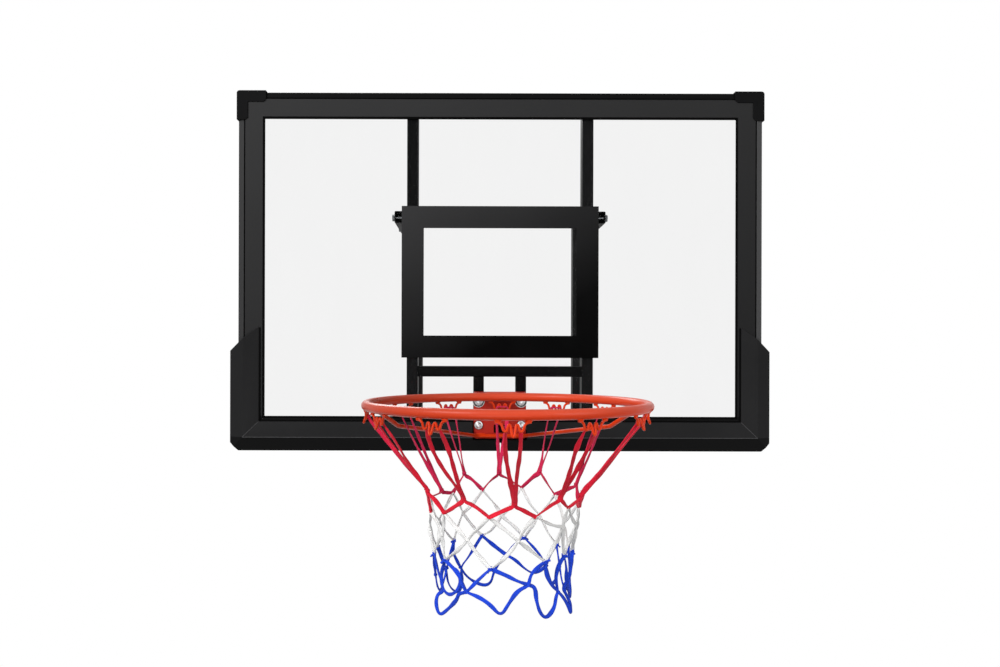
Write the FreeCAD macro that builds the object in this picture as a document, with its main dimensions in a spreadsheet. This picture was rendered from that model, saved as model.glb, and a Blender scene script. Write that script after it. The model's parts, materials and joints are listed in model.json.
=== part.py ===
import FreeCAD, Part
import math
import os
import re
import Sketcher

Vector = FreeCAD.Vector
Rotation = FreeCAD.Rotation
Placement = FreeCAD.Placement

# Driving dimensions in millimetres, angles in degrees
SIZES = {
    # Clear panel and the trim frame round it
    "trim_width": 1086,
    "trim_height": 726,
    "trim_face": 55,
    "trim_lip": 4,
    "trim_wall": 2,
    "trim_depth": 26,
    "edge_strip": 11.5,
    "strip_step": 0.6,
    "strip_fall": 3.2,
    "groove_width": 2.6,
    "groove_depth": 3,
    "bead_width": 4.5,
    "bead_height": 2.6,
    "panel_thickness": 4,
    "panel_edge_gap": 2,
    # Target square on the panel
    "target_width": 409,
    "target_height": 315,
    "target_band": 46,
    "target_rise": 176.5,
    "target_film": 0.4,
    # Tubes behind the panel
    "edge_tube": 22,
    "edge_gap": 0.5,
    "tube_wall": 1.5,
    "tube_round": 2.5,
    "upright_spacing": 365,
    "upright_width": 23,
    "upright_depth": 40,
    "bar_size": 22,
    "crossbar_rise": 148,
    # Moulded caps on the top corners
    "cap_leg": 57.5,
    "cap_band": 20,
    "cap_over": 3.5,
    "cap_skin": 2.5,
    "cap_depth": 18,
    "cap_round": 6,
    "cap_cut": 5,
    "cap_gap": 0.2,
    # Guard pads along the bottom and the lower sides
    "pad_over": 17,
    "pad_ridge": 12,
    "pad_inner": 44,
    "pad_height": 16,
    "pad_edge": 2.5,
    "pad_shoulder": 1,
    "pad_depth": 26,
    "pad_seat": 0.2,
    "pad_split": 7,
    "pad_chamfer": 17,
    "pad_end_outer": 190,
    "pad_end_ridge": 216,
    "pad_end_inner": 240,
    # Arms and their pivots
    "arm_length": 176,
    "arm_size": 25,
    "arm_end": 12.5,
    "pivot_spacing": 425,
    "pivot_margin": 20.5,
    "pivot_clearance": 0.05,
    "pivot_play": 0.2,
    # Bolts, nuts and washers
    "bolt_size": 8,
    "bolt_head_flat": 13,
    "bolt_head_height": 5.3,
    "bolt_past": 3,
    "bolt_hole_gap": 0.5,
    "nut_height": 6.5,
    "nut_gap": 0.1,
    "washer_width": 16,
    "washer_thickness": 1.2,
    # Wall plates and the plugs of the rear tubes
    "wall_plate_thickness": 4,
    "wall_plate_width": 50,
    "wall_plate_height": 40,
    "wall_plate_cut": 10,
    "wall_bolt_hole": 9,
    "wall_bolt_edge": 16,
    "wall_bolt_past": 24,
    "plug_head": 2,
    "plug_length": 12,
    "plug_gap": 0.1,
    # Rim ring and the bent plate that carries it
    "ring_inside": 450,
    "ring_rod": 16,
    "ring_gap": 154,
    "ring_rise": 103.2,
    "rim_sheet": 5,
    "rim_plate_width": 108,
    "rim_plate_drop": 94.2,
    "rim_plate_round": 6,
    "rim_plate_gap": 2,
    "rim_bend": 2.5,
    "tongue_lift": 3.5,
    "tongue_tip": 60,
    "slot_width": 25,
    "slot_height": 17,
    "slot_rise": 20.5,
    "rim_bolt_pitch": 88,
    "rim_bolt_row": 49,
    "rim_bolt_room": 4,
    "rim_washer": 18,
    # Brace rod under the ring
    "brace_rod": 8,
    "brace_start": 46,
    "brace_rise": 6,
    "brace_elbow_out": 191,
    "brace_elbow_reach": 250,
    "brace_elbow_drop": 47,
    "brace_bend": 30,
    "brace_corner": 14,
    "brace_tip_angle": 15,
    # Wire hooks for the net
    "front_hook_step": 30,
    "rear_hook_step": 26,
    "hook_wire": 4,
    "hook_tail": 26,
    "hook_shoulder": 17,
    "hook_cradle_out": 14,
    "hook_cradle_in": 9,
    "hook_cradle_drop": 13.5,
    "hook_peak_out": 7.5,
    "hook_peak_in": 3.5,
    "hook_peak_drop": 4,
    "hook_tip": 2,
    "hook_tip_drop": 20.5,
    "hook_tip_out": 5,
    # Net: distance below the ring plane and radius of each row of knots
    "net_cord": 6,
    "net_thickness": 3,
    "net_gap": 0.3,
    "net_loop": 12,
    "net_top_drop": 18,
    "red_knot_drop": 135,
    "red_knot_radius": 146,
    "red_end_drop": 158,
    "red_end_radius": 137,
    "white_knot_drop": 200,
    "white_knot_radius": 128,
    "white_end_drop": 238,
    "white_end_radius": 118,
    "blue_knot_drop": 272,
    "blue_knot_radius": 114,
    "hem_drop": 320,
    "hem_radius": 112,
}

# How far a cutting outline runs past the solid that it cuts
OVERCUT = 2

# Hooks from side to side round the front of the ring, and those between the brace's ends at the rear
FRONT_HOOKS = 7
REAR_HOOKS = 5

# Flat sides of the net to each hook
NET_SIDES = 4

# Reference lines, as formulas of the sizes
# The origin is the middle of the four wall bolts, on the wall
REAR_PIVOT_Y = "-(wall_plate_thickness + upright_depth / 2)"
FRONT_PIVOT_Y = "-(wall_plate_thickness + upright_depth / 2 + arm_length)"
FRAME_Y = "-(wall_plate_thickness + upright_depth + arm_length)"
PANEL_Y = "-(wall_plate_thickness + upright_depth + arm_length + panel_thickness)"
RING_Y = f"({PANEL_Y} - ring_gap - ring_inside / 2)"
PIVOT_Z = "(pivot_spacing / 2)"
WALL_BOLT_Z = "(pivot_spacing / 2 + wall_bolt_past)"
EDGE_TUBE_IN = "(trim_wall + edge_gap + edge_tube)"
BOTTOM_Z = f"(-pivot_spacing / 2 - pivot_margin - {EDGE_TUBE_IN})"
CENTRE_Z = f"({BOTTOM_Z} + trim_height / 2)"
RING_Z = f"({BOTTOM_Z} + ring_rise)"
UPRIGHT_OUT = "(upright_spacing / 2 + upright_width / 2)"
UPRIGHT_IN = "(upright_spacing / 2 - upright_width / 2)"
UPRIGHT_LENGTH = f"(trim_height - 2 * {EDGE_TUBE_IN})"
REAR_TUBE_LENGTH = f"(2 * {WALL_BOLT_Z} + wall_plate_height)"
ARM_IN = f"({UPRIGHT_OUT} + washer_thickness + pivot_play)"
WALL_BOLT_X = f"({UPRIGHT_IN} + wall_plate_width - wall_bolt_edge)"
RIM_BOLT_TOP = "(tongue_lift - rim_sheet - rim_bend - rim_bolt_room - rim_washer / 2)"
RIM_BOLT_LOW = f"({RIM_BOLT_TOP} - rim_bolt_row)"
TONGUE_REACH = "(ring_gap - ring_rod / 2)"
NOTCH_HALF = "(rim_plate_width / 2 + rim_plate_gap)"
NOTCH_RISE = "(ring_rise - rim_plate_drop - rim_plate_gap)"
FIXED_HOLE = "(bolt_size + 2 * bolt_hole_gap)"
PIVOT_HOLE = "(bolt_size + 2 * pivot_clearance)"

SIDES = {"left": -1, "right": 1}
LEVELS = {"upper": 1, "lower": -1}
PLANES = {"x": "YZ_Plane", "y": "XZ_Plane", "z": "XY_Plane"}

doc = FreeCAD.newDocument("backboard")
sheet = doc.addObject("Spreadsheet::Sheet", "sizes")
for row, (alias, value) in enumerate(SIZES.items(), start=1):
    sheet.set(f"A{row}", alias)
    sheet.set(f"B{row}", str(value))
    sheet.setAlias(f"B{row}", alias)
doc.recompute()

pieces = []


# Formulas, placing and sketches


def formula(text):
    """Put the sheet's name before each size in a formula."""
    return re.sub(r"[a-z_]+", lambda word: f"sizes.{word[0]}" if word[0] in SIZES else word[0], text)


def number(text):
    """Value of a formula."""
    return float(sheet.evalExpression(formula(text)))


def bind(target, **formulas):
    for name, text in formulas.items():
        target.setExpression(name, formula(text))


def place(target, x, y, z, turn=0):
    """Turn a piece about Y, then tie its base point to the sizes."""
    target.Placement = Placement(Vector(), Rotation(Vector(0, 1, 0), turn))
    for axis, text in (("x", x), ("y", y), ("z", z)):
        target.setExpression(f"Placement.Base.{axis}", formula(text))


def new_body(label, listed=True):
    body = doc.addObject("PartDesign::Body", label)
    body.Label = label
    if listed:
        pieces.append(body)
    return body


def sketch_on(body, normal):
    """Empty sketch on the body's own plane across the given axis."""
    sketch = body.newObject("Sketcher::SketchObject", f"{body.Label}_outline")
    plane = next(item for item in body.Origin.OriginFeatures if item.Role == PLANES[normal])
    sketch.AttachmentSupport = [(plane, "")]
    sketch.MapMode = "FlatFace"
    return sketch


def pin_point(sketch, geometry, point, x, y):
    for kind, text in (("DistanceX", x), ("DistanceY", y)):
        index = sketch.addConstraint(Sketcher.Constraint(kind, -1, 1, geometry, point, number(text)))
        sketch.setExpression(f"Constraints[{index}]", formula(text))


def draw_polygon(sketch, corners):
    first = sketch.GeometryCount
    points = [Vector(number(x), number(y), 0) for x, y in corners]
    for start, end in zip(points, points[1:] + points[:1]):
        sketch.addGeometry(Part.LineSegment(start, end))
    lines = range(first, first + len(corners))
    for line, following in zip(lines, list(lines[1:]) + [first]):
        sketch.addConstraint(Sketcher.Constraint("Coincident", line, 2, following, 1))
    for line, (x, y) in zip(lines, corners):
        pin_point(sketch, line, 1, x, y)


def draw_rectangle(sketch, left, low, right, high):
    draw_polygon(sketch, [(left, low), (right, low), (right, high), (left, high)])


def draw_round_rectangle(sketch, width, height, radius):
    """Rectangle about the sketch's origin with rounded corners."""
    first = sketch.GeometryCount
    bow = number(radius)
    across = number(f"{width} / 2 - {radius}")
    up = number(f"{height} / 2 - {radius}")
    quarter = math.pi / 2
    signs = [(1, -1), (1, 1), (-1, 1), (-1, -1)]
    for turn, (sx, sy) in enumerate(signs, start=-1):
        circle = Part.Circle(Vector(sx * across, sy * up, 0), Vector(0, 0, 1), bow)
        sketch.addGeometry(Part.ArcOfCircle(circle, turn * quarter, (turn + 1) * quarter))
    arcs = [sketch.Geometry[first + index] for index in range(4)]
    for index in range(4):
        following = arcs[(index + 1) % 4]
        sketch.addGeometry(Part.LineSegment(arcs[index].EndPoint, following.StartPoint))
    for index, (sx, sy) in enumerate(signs):
        line = first + 4 + index
        sketch.addConstraint(Sketcher.Constraint("Tangent", first + index, 2, line, 1))
        sketch.addConstraint(Sketcher.Constraint("Tangent", line, 2, first + (index + 1) % 4, 1))
        centre_x = f"{sx} * ({width} / 2 - {radius})"
        centre_y = f"{sy} * ({height} / 2 - {radius})"
        pin_point(sketch, first + index, 3, centre_x, centre_y)
        bound = sketch.addConstraint(Sketcher.Constraint("Radius", first + index, bow))
        sketch.setExpression(f"Constraints[{bound}]", formula(radius))


def draw_circle(sketch, x, y, diameter):
    centre = Vector(number(x), number(y), 0)
    circle = sketch.addGeometry(Part.Circle(centre, Vector(0, 0, 1), number(diameter) / 2))
    pin_point(sketch, circle, 3, x, y)
    bound = sketch.addConstraint(Sketcher.Constraint("Diameter", circle, number(diameter)))
    sketch.setExpression(f"Constraints[{bound}]", formula(diameter))


def pad(body, sketch, length, back=None, symmetric=False):
    """Raise a sketch: to one side, to both alike, or by length in front and back behind."""
    feature = body.newObject("PartDesign::Pad", f"{body.Label}_pad")
    feature.Profile = sketch
    bind(feature, Length=length)
    if symmetric:
        feature.SideType = "Symmetric"
    if back:
        feature.SideType = "Two sides"
        bind(feature, Length2=back)
    doc.recompute()
    return feature


def cut_through(body, sketch):
    """Cut a sketch through the whole body, both ways."""
    before = body.Shape.Volume
    feature = body.newObject("PartDesign::Pocket", f"{body.Label}_cut")
    feature.Profile = sketch
    feature.Type = "ThroughAll"
    feature.SideType = "Symmetric"
    doc.recompute()
    if not body.Shape.Volume < before:
        raise RuntimeError(f"{body.Label}: a cut took nothing away")
    return feature


def round_edges(body, radius, chosen):
    """Fillet the edges of the body whose middle and direction pass the test."""
    base = body.Tip
    names = []
    for index, edge in enumerate(base.Shape.Edges, start=1):
        middle = edge.valueAt((edge.FirstParameter + edge.LastParameter) / 2)
        along = edge.tangentAt(edge.FirstParameter)
        if edge.Curve.TypeId == "Part::GeomLine" and chosen(middle, along):
            names.append(f"Edge{index}")
    feature = body.newObject("PartDesign::Fillet", f"{body.Label}_round")
    feature.Base = (base, names)
    bind(feature, Radius=radius)
    doc.recompute()


def mirrored(label, source):
    """The same piece for the other side of the board."""
    mirror = doc.addObject("Part::Mirroring", label)
    mirror.Source = source
    mirror.Normal = Vector(1, 0, 0)
    mirror.Label = label
    pieces.append(mirror)


def near(value, goal):
    return abs(value - goal) < 0.01


def shaped(label, shape, place_at=None):
    """A piece whose shape is worked out here."""
    feature = doc.addObject("Part::Feature", label)
    feature.Shape = shape
    feature.Label = label
    if place_at:
        feature.Placement = place_at
    pieces.append(feature)
    return feature


# Tubes


def tube(label, run, width, height, length, at):
    """Rectangular tube along one axis, about its own middle."""
    body = new_body(label)
    profile = sketch_on(body, run)
    draw_round_rectangle(profile, width, height, "tube_round")
    half_width = f"({width} / 2 - tube_wall)"
    half_height = f"({height} / 2 - tube_wall)"
    draw_rectangle(profile, f"-{half_width}", f"-{half_height}", half_width, half_height)
    pad(body, profile, length, symmetric=True)
    place(body, *at)
    return body


def drill(body, axis, centres, diameter):
    """Round holes right through a body along one axis."""
    holes = sketch_on(body, axis)
    for x, y in centres:
        draw_circle(holes, x, y, diameter)
    cut_through(body, holes)


def make_uprights():
    """Front uprights behind the panel and rear uprights on the wall, with pivot holes across."""
    for side, sign in SIDES.items():
        across = f"{sign} * upright_spacing / 2"
        front = tube(f"front_upright_{side}", "z", "upright_width", "upright_depth", UPRIGHT_LENGTH,
                     (across, FRONT_PIVOT_Y, CENTRE_Z))
        pivots = [f"{up} * {PIVOT_Z}" for up in LEVELS.values()]
        drill(front, "x", [("0", f"{pivot} - {CENTRE_Z}") for pivot in pivots], FIXED_HOLE)
        rear = tube(f"rear_upright_{side}", "z", "upright_width", "upright_depth", REAR_TUBE_LENGTH,
                    (across, REAR_PIVOT_Y, "0"))
        drill(rear, "x", [("0", pivot) for pivot in pivots], FIXED_HOLE)


def make_arms():
    """Four swinging arms outside the uprights, each on a bolt near either end."""
    middle = f"({REAR_PIVOT_Y} - arm_length / 2)"
    for level, up in LEVELS.items():
        for side, sign in SIDES.items():
            arm = tube(f"{level}_arm_{side}", "y", "arm_size", "arm_size", "arm_length + 2 * arm_end",
                       (f"{sign} * ({ARM_IN} + arm_size / 2)", middle, f"{up} * {PIVOT_Z}"))
            drill(arm, "x", [(f"{end} * arm_length / 2", "0") for end in (-1, 1)], PIVOT_HOLE)


def make_edge_frame():
    """Square tubes behind the panel's edge, with the crossbar, stubs and tie that carry the rim."""
    middle = f"({FRAME_Y} + edge_tube / 2)"
    side_in = "(trim_wall + edge_gap + edge_tube / 2)"
    width = "(trim_width - 2 * trim_wall - 2 * edge_gap)"
    tube("frame_tube_top", "x", "edge_tube", "edge_tube", width,
         ("0", middle, f"{BOTTOM_Z} + trim_height - {side_in}"))
    tube("frame_tube_bottom", "x", "edge_tube", "edge_tube", width,
         ("0", middle, f"{BOTTOM_Z} + {side_in}"))
    for side, sign in SIDES.items():
        tube(f"frame_tube_{side}", "z", "edge_tube", "edge_tube", UPRIGHT_LENGTH,
             (f"{sign} * (trim_width / 2 - {side_in})", middle, CENTRE_Z))

    bar_y = f"({FRAME_Y} + bar_size / 2)"
    tube("rim_crossbar", "x", "bar_size", "bar_size", f"2 * {UPRIGHT_IN}",
         ("0", bar_y, f"{BOTTOM_Z} + crossbar_rise"))
    stub_top = "(crossbar_rise - bar_size / 2)"
    stub_middle = f"({BOTTOM_Z} + ({stub_top} + {EDGE_TUBE_IN}) / 2)"
    for side, sign in SIDES.items():
        stub = tube(f"rim_stub_{side}", "z", "bar_size", "bar_size", f"{stub_top} - {EDGE_TUBE_IN}",
                    (f"{sign} * rim_bolt_pitch / 2", bar_y, stub_middle))
        rows = (RIM_BOLT_TOP, RIM_BOLT_LOW)
        drill(stub, "y", [("0", f"{RING_Z} + {row} - {stub_middle}") for row in rows], FIXED_HOLE)
    tube("rim_stub_tie", "x", "bar_size", "bar_size", "rim_bolt_pitch - bar_size",
         ("0", bar_y, f"{BOTTOM_Z} + {EDGE_TUBE_IN} + bar_size / 2"))


# Panel, target, bead and trim


def make_panel():
    """Clear sheet with holes for the rim bolts."""
    body = new_body("clear_panel")
    outline = sketch_on(body, "y")
    half_width = "(trim_width / 2 - trim_wall - panel_edge_gap)"
    half_height = "(trim_height / 2 - trim_wall - panel_edge_gap)"
    draw_rectangle(outline, f"-{half_width}", f"-{half_height}", half_width, half_height)
    pad(body, outline, "panel_thickness")
    place(body, "0", FRAME_Y, CENTRE_Z)
    rows = [f"{RING_Z} + {row} - {CENTRE_Z}" for row in (RIM_BOLT_TOP, RIM_BOLT_LOW)]
    columns = [f"{sign} * rim_bolt_pitch / 2" for sign in SIDES.values()]
    drill(body, "y", [(column, row) for column in columns for row in rows], FIXED_HOLE)


def make_target():
    """Black square band on the front of the panel."""
    body = new_body("target_square")
    outline = sketch_on(body, "y")
    draw_rectangle(outline, "-target_width / 2", "0", "target_width / 2", "target_height")
    draw_rectangle(outline, "-target_width / 2 + target_band", "target_band",
                   "target_width / 2 - target_band", "target_height - target_band")
    pad(body, outline, "target_film")
    place(body, "0", PANEL_Y, f"{BOTTOM_Z} + target_rise")


def make_bead():
    """Rubber bead between the trim and the panel, notched for the rim plate."""
    body = new_body("panel_bead")
    outline = sketch_on(body, "y")
    half_width = "(trim_width / 2 - trim_face)"
    half_height = "(trim_height / 2 - trim_face)"
    draw_rectangle(outline, f"-{half_width} - bead_width", f"-{half_height} - bead_width",
                   f"{half_width} + bead_width", f"{half_height} + bead_width")
    draw_rectangle(outline, f"-{half_width}", f"-{half_height}", half_width, half_height)
    pad(body, outline, "bead_height")
    notch = sketch_on(body, "y")
    draw_rectangle(notch, f"-{NOTCH_HALF}", f"-{half_height} - bead_width - {OVERCUT}",
                   NOTCH_HALF, f"-{half_height} + {OVERCUT}")
    cut_through(body, notch)
    place(body, "0", PANEL_Y, CENTRE_Z)


def make_trim(label, turn, reach, half_run, notched=False):
    """One mitred length of trim: face, groove, sloping outer strip and side wall."""
    body = new_body(label)
    inner = f"{reach} - trim_face + bead_width"
    face_end = f"{reach} - edge_strip - groove_width"
    strip = f"{reach} - edge_strip"
    profile = sketch_on(body, "x")
    draw_polygon(profile, [
        ("0", inner),
        ("-trim_lip", inner),
        ("-trim_lip", face_end),
        ("groove_depth - trim_lip", face_end),
        ("groove_depth - trim_lip", strip),
        ("strip_step - trim_lip", strip),
        ("strip_fall - trim_lip", reach),
        ("trim_depth", reach),
        ("trim_depth", f"{reach} - trim_wall"),
        ("0", f"{reach} - trim_wall"),
    ])
    pad(body, profile, f"2 * {half_run}", symmetric=True)

    mitres = sketch_on(body, "y")
    for sign in SIDES.values():
        past = f"{sign} * ({half_run} + {OVERCUT})"
        inward = f"{reach} - trim_face - {OVERCUT}"
        draw_polygon(mitres, [
            (past, f"{reach} + {OVERCUT}"),
            (f"{sign} * ({half_run} - trim_face - {OVERCUT})", inward),
            (past, inward),
        ])
    cut_through(body, mitres)

    if notched:
        notch = sketch_on(body, "y")
        draw_rectangle(notch, f"-{NOTCH_HALF}", f"{reach} - trim_face - {OVERCUT}",
                       NOTCH_HALF, f"{reach} - {NOTCH_RISE}")
        cut_through(body, notch)
    place(body, "0", PANEL_Y, CENTRE_Z, turn)


def make_trims():
    make_trim("trim_top", 0, "trim_height / 2", "trim_width / 2")
    make_trim("trim_bottom", 180, "trim_height / 2", "trim_width / 2", notched=True)
    make_trim("trim_left", -90, "trim_width / 2", "trim_height / 2")
    make_trim("trim_right", 90, "trim_width / 2", "trim_height / 2")


# Moulded corner caps and guard pads


def make_corner_caps():
    """L-shaped caps over the front, top and side of the trim's top corners."""
    body = new_body("corner_cap_left")
    outline = sketch_on(body, "y")
    draw_polygon(outline, [
        ("-cap_over", "cap_over"),
        ("cap_leg", "cap_over"),
        ("cap_leg", "cap_cut - cap_band"),
        ("cap_leg - cap_cut", "-cap_band"),
        ("cap_band", "-cap_band"),
        ("cap_band", "cap_cut - cap_leg"),
        ("cap_band - cap_cut", "-cap_leg"),
        ("-cap_over", "-cap_leg"),
    ])
    pad(body, outline, "trim_lip + cap_skin", back="cap_depth")
    corner = number("cap_over")
    round_edges(body, "cap_round",
                lambda at, along: near(at.x, -corner) and near(at.z, corner) and abs(along.y) > 0.9)

    inside = sketch_on(body, "y")
    draw_rectangle(inside, "-cap_gap", f"-cap_leg - {OVERCUT}", f"cap_leg + {OVERCUT}", "cap_gap")
    hollow = body.newObject("PartDesign::Pocket", "corner_cap_hollow")
    hollow.Profile = inside
    hollow.SideType = "Two sides"
    bind(hollow, Length=f"cap_depth + {OVERCUT}", Length2="trim_lip + cap_gap")
    doc.recompute()
    place(body, "-trim_width / 2", PANEL_Y, f"{BOTTOM_Z} + trim_height")
    mirrored("corner_cap_right", body)


def make_guard_pads():
    """Ridged pads that wrap the trim's lower edge and corners, one to each side of a narrow gap."""
    body = new_body("guard_pad_left")
    route = sketch_on(body, "y")
    side = "-trim_width / 2"
    stops = [("0", "0"), (side, "0"), (side, f"pad_end_inner + {OVERCUT}")]
    for (x, y), (next_x, next_y) in zip(stops, stops[1:]):
        start = Vector(number(x), number(y), 0)
        line = route.addGeometry(Part.LineSegment(start, Vector(number(next_x), number(next_y), 0)))
        pin_point(route, line, 1, x, y)
        pin_point(route, line, 2, next_x, next_y)

    profile = sketch_on(body, "x")
    seat = "-trim_lip - pad_seat"
    draw_polygon(profile, [
        (seat, "pad_inner"),
        (f"{seat} - pad_edge", "pad_inner"),
        ("-pad_height", "pad_ridge"),
        ("-pad_shoulder", "-pad_over"),
        ("pad_depth", "-pad_over"),
        ("pad_depth", "-pad_seat"),
        (seat, "-pad_seat"),
    ])
    sweep = body.newObject("PartDesign::AdditivePipe", "guard_pad_sweep")
    sweep.Profile = profile
    sweep.Spine = (route, ["Edge1", "Edge2"])
    sweep.Transition = "Right corner"
    doc.recompute()

    centre = sketch_on(body, "y")
    draw_polygon(centre, [
        (f"{OVERCUT}", f"-pad_over - {OVERCUT}"),
        ("-pad_split / 2", f"-pad_over - {OVERCUT}"),
        ("-pad_split / 2", NOTCH_RISE),
        (f"-{NOTCH_HALF}", NOTCH_RISE),
        (f"-{NOTCH_HALF}", f"pad_inner + {OVERCUT}"),
        (f"{OVERCUT}", f"pad_inner + {OVERCUT}"),
    ])
    cut_through(body, centre)

    outer = "-trim_width / 2 - pad_over"
    corner = sketch_on(body, "y")
    draw_polygon(corner, [
        (f"{outer} - {OVERCUT}", f"pad_chamfer - pad_over + {OVERCUT}"),
        (f"{outer} + pad_chamfer + {OVERCUT}", f"-pad_over - {OVERCUT}"),
        (f"{outer} - {OVERCUT}", f"-pad_over - {OVERCUT}"),
    ])
    cut_through(body, corner)

    top = sketch_on(body, "y")
    draw_polygon(top, [
        (f"{outer} - {OVERCUT}", "pad_end_outer"),
        (outer, "pad_end_outer"),
        ("-trim_width / 2 + pad_ridge", "pad_end_ridge"),
        ("-trim_width / 2 + pad_inner", "pad_end_inner"),
        (f"-trim_width / 2 + pad_inner + {OVERCUT}", "pad_end_inner"),
        (f"-trim_width / 2 + pad_inner + {OVERCUT}", f"pad_end_inner + 2 * {OVERCUT}"),
        (f"{outer} - {OVERCUT}", f"pad_end_inner + 2 * {OVERCUT}"),
    ])
    cut_through(body, top)
    place(body, "0", PANEL_Y, BOTTOM_Z)
    mirrored("guard_pad_right", body)


# Bolts, nuts, washers, wall plates and plugs


def bolt(name, length):
    """Hex bolt along Z with the underside of its head at the origin."""
    head = doc.addObject("Part::Prism", f"{name}_head")
    head.Polygon = 6
    bind(head, Circumradius="bolt_head_flat / sqrt(3)", Height="bolt_head_height")
    shank = doc.addObject("Part::Cylinder", f"{name}_shank")
    bind(shank, Radius="bolt_size / 2", Height=length)
    shank.setExpression("Placement.Base.z", formula(f"-({length})"))
    whole = doc.addObject("Part::Fuse", name)
    whole.Base = head
    whole.Tool = shank
    return whole


def ring_of(name, body, hole, height):
    """Nut or washer: a solid with a round hole along Z."""
    bore = doc.addObject("Part::Cylinder", f"{name}_bore")
    bind(bore, Radius=hole, Height=height)
    whole = doc.addObject("Part::Cut", name)
    whole.Base = body
    whole.Tool = bore
    return whole


def nut(name):
    block = doc.addObject("Part::Prism", f"{name}_block")
    block.Polygon = 6
    bind(block, Circumradius="bolt_head_flat / sqrt(3)", Height="nut_height")
    return ring_of(name, block, "bolt_size / 2 + nut_gap", "nut_height")


def washer(name, width):
    disc = doc.addObject("Part::Cylinder", f"{name}_disc")
    bind(disc, Radius=f"{width} / 2", Height="washer_thickness")
    return ring_of(name, disc, "bolt_size / 2 + nut_gap", "washer_thickness")


def group(label, master, places):
    """One node of equal pieces, each a separate solid."""
    doc.recompute()
    copies = []
    for at in places:
        copy = master.Shape.copy()
        copy.Placement = at.multiply(copy.Placement)
        copies.append(copy)
    shaped(label, Part.makeCompound(copies))


def across_places(offset, y):
    """Places at the four pivots of one row, turned to face outwards, offset from the middle plane."""
    places = []
    for sign in SIDES.values():
        for level in LEVELS.values():
            at = Vector(sign * number(offset), number(y), level * number(PIVOT_Z))
            places.append(Placement(at, Rotation(Vector(0, 1, 0), sign * 90)))
    return places


def make_pivot_hardware():
    """Bolts, nuts and washers of the arm pivots; the rear nuts are welded inside their tubes."""
    head_at = f"({ARM_IN} + arm_size + pivot_play)"
    ends = {
        "front": (FRONT_PIVOT_Y, f"({UPRIGHT_IN} - nut_height)"),
        "rear": (REAR_PIVOT_Y, f"({UPRIGHT_OUT} - tube_wall - nut_height)"),
    }
    pivot_nut = nut("pivot_nut")
    pivot_washer = washer("pivot_washer", "washer_width")
    for end, (y, nut_at) in ends.items():
        pivot_bolt = bolt(f"{end}_pivot_bolt", f"{head_at} - {nut_at} + bolt_past")
        group(f"{end}_pivot_bolts", pivot_bolt, across_places(head_at, y))
        group(f"{end}_pivot_nuts", pivot_nut, across_places(nut_at, y))
        group(f"{end}_pivot_washers", pivot_washer, across_places(UPRIGHT_OUT, y))


def make_rim_hardware():
    """Bolts and washers in front of the rim plate, nuts behind the stubs."""
    faces = {
        "bolts": f"({PANEL_Y} - rim_sheet - washer_thickness)",
        "washers": f"({PANEL_Y} - rim_sheet)",
        "nuts": f"({FRAME_Y} + bar_size + nut_height)",
    }
    length = "rim_sheet + washer_thickness + panel_thickness + bar_size + nut_height + bolt_past"
    masters = {
        "bolts": bolt("rim_bolt", length),
        "washers": washer("rim_bolt_washer", "rim_washer"),
        "nuts": nut("rim_nut"),
    }
    forwards = Rotation(Vector(1, 0, 0), 90)
    for kind, face in faces.items():
        places = []
        for sign in SIDES.values():
            for row in (RIM_BOLT_TOP, RIM_BOLT_LOW):
                at = Vector(sign * number("rim_bolt_pitch / 2"), number(face), number(f"{RING_Z} + {row}"))
                places.append(Placement(at, forwards))
        group(f"rim_{kind}", masters[kind], places)


def make_wall_plates():
    """Plates behind the rear uprights, each with a tab and one hole for a wall bolt."""
    for level, up in LEVELS.items():
        for side, sign in SIDES.items():
            body = new_body(f"wall_plate_{level}_{side}")
            outline = sketch_on(body, "y")
            half = "wall_plate_height / 2"
            tab = f"{sign} * wall_plate_width"
            tab_cut = f"{sign} * (wall_plate_width - wall_plate_cut)"
            draw_polygon(outline, [
                ("0", f"-{half}"),
                (tab_cut, f"-{half}"),
                (tab, f"wall_plate_cut - {half}"),
                (tab, f"{half} - wall_plate_cut"),
                (tab_cut, half),
                ("0", half),
            ])
            pad(body, outline, "wall_plate_thickness")
            drill(body, "y", [(f"{sign} * (wall_plate_width - wall_bolt_edge)", "0")], "wall_bolt_hole")
            place(body, f"{sign} * {UPRIGHT_IN}", "0", f"{up} * {WALL_BOLT_Z}")


def make_tube_plugs():
    """Plastic plugs in the open ends of the rear uprights."""
    master = new_body("tube_plug", listed=False)
    head = sketch_on(master, "z")
    draw_round_rectangle(head, "upright_width", "upright_depth", "tube_round")
    pad(master, head, "plug_head")
    stem = sketch_on(master, "z")
    half_width = "(upright_width / 2 - tube_wall - plug_gap)"
    half_depth = "(upright_depth / 2 - tube_wall - plug_gap)"
    draw_rectangle(stem, f"-{half_width}", f"-{half_depth}", half_width, half_depth)
    tail = pad(master, stem, "plug_length")
    tail.Reversed = True
    places = []
    for sign in SIDES.values():
        for level in LEVELS.values():
            at = Vector(sign * number("upright_spacing / 2"), number(REAR_PIVOT_Y),
                        level * number(f"{REAR_TUBE_LENGTH} / 2"))
            places.append(Placement(at, Rotation(Vector(0, 1, 0), 90 - level * 90)))
    group("rear_tube_plugs", master, places)


# Rim


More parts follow.
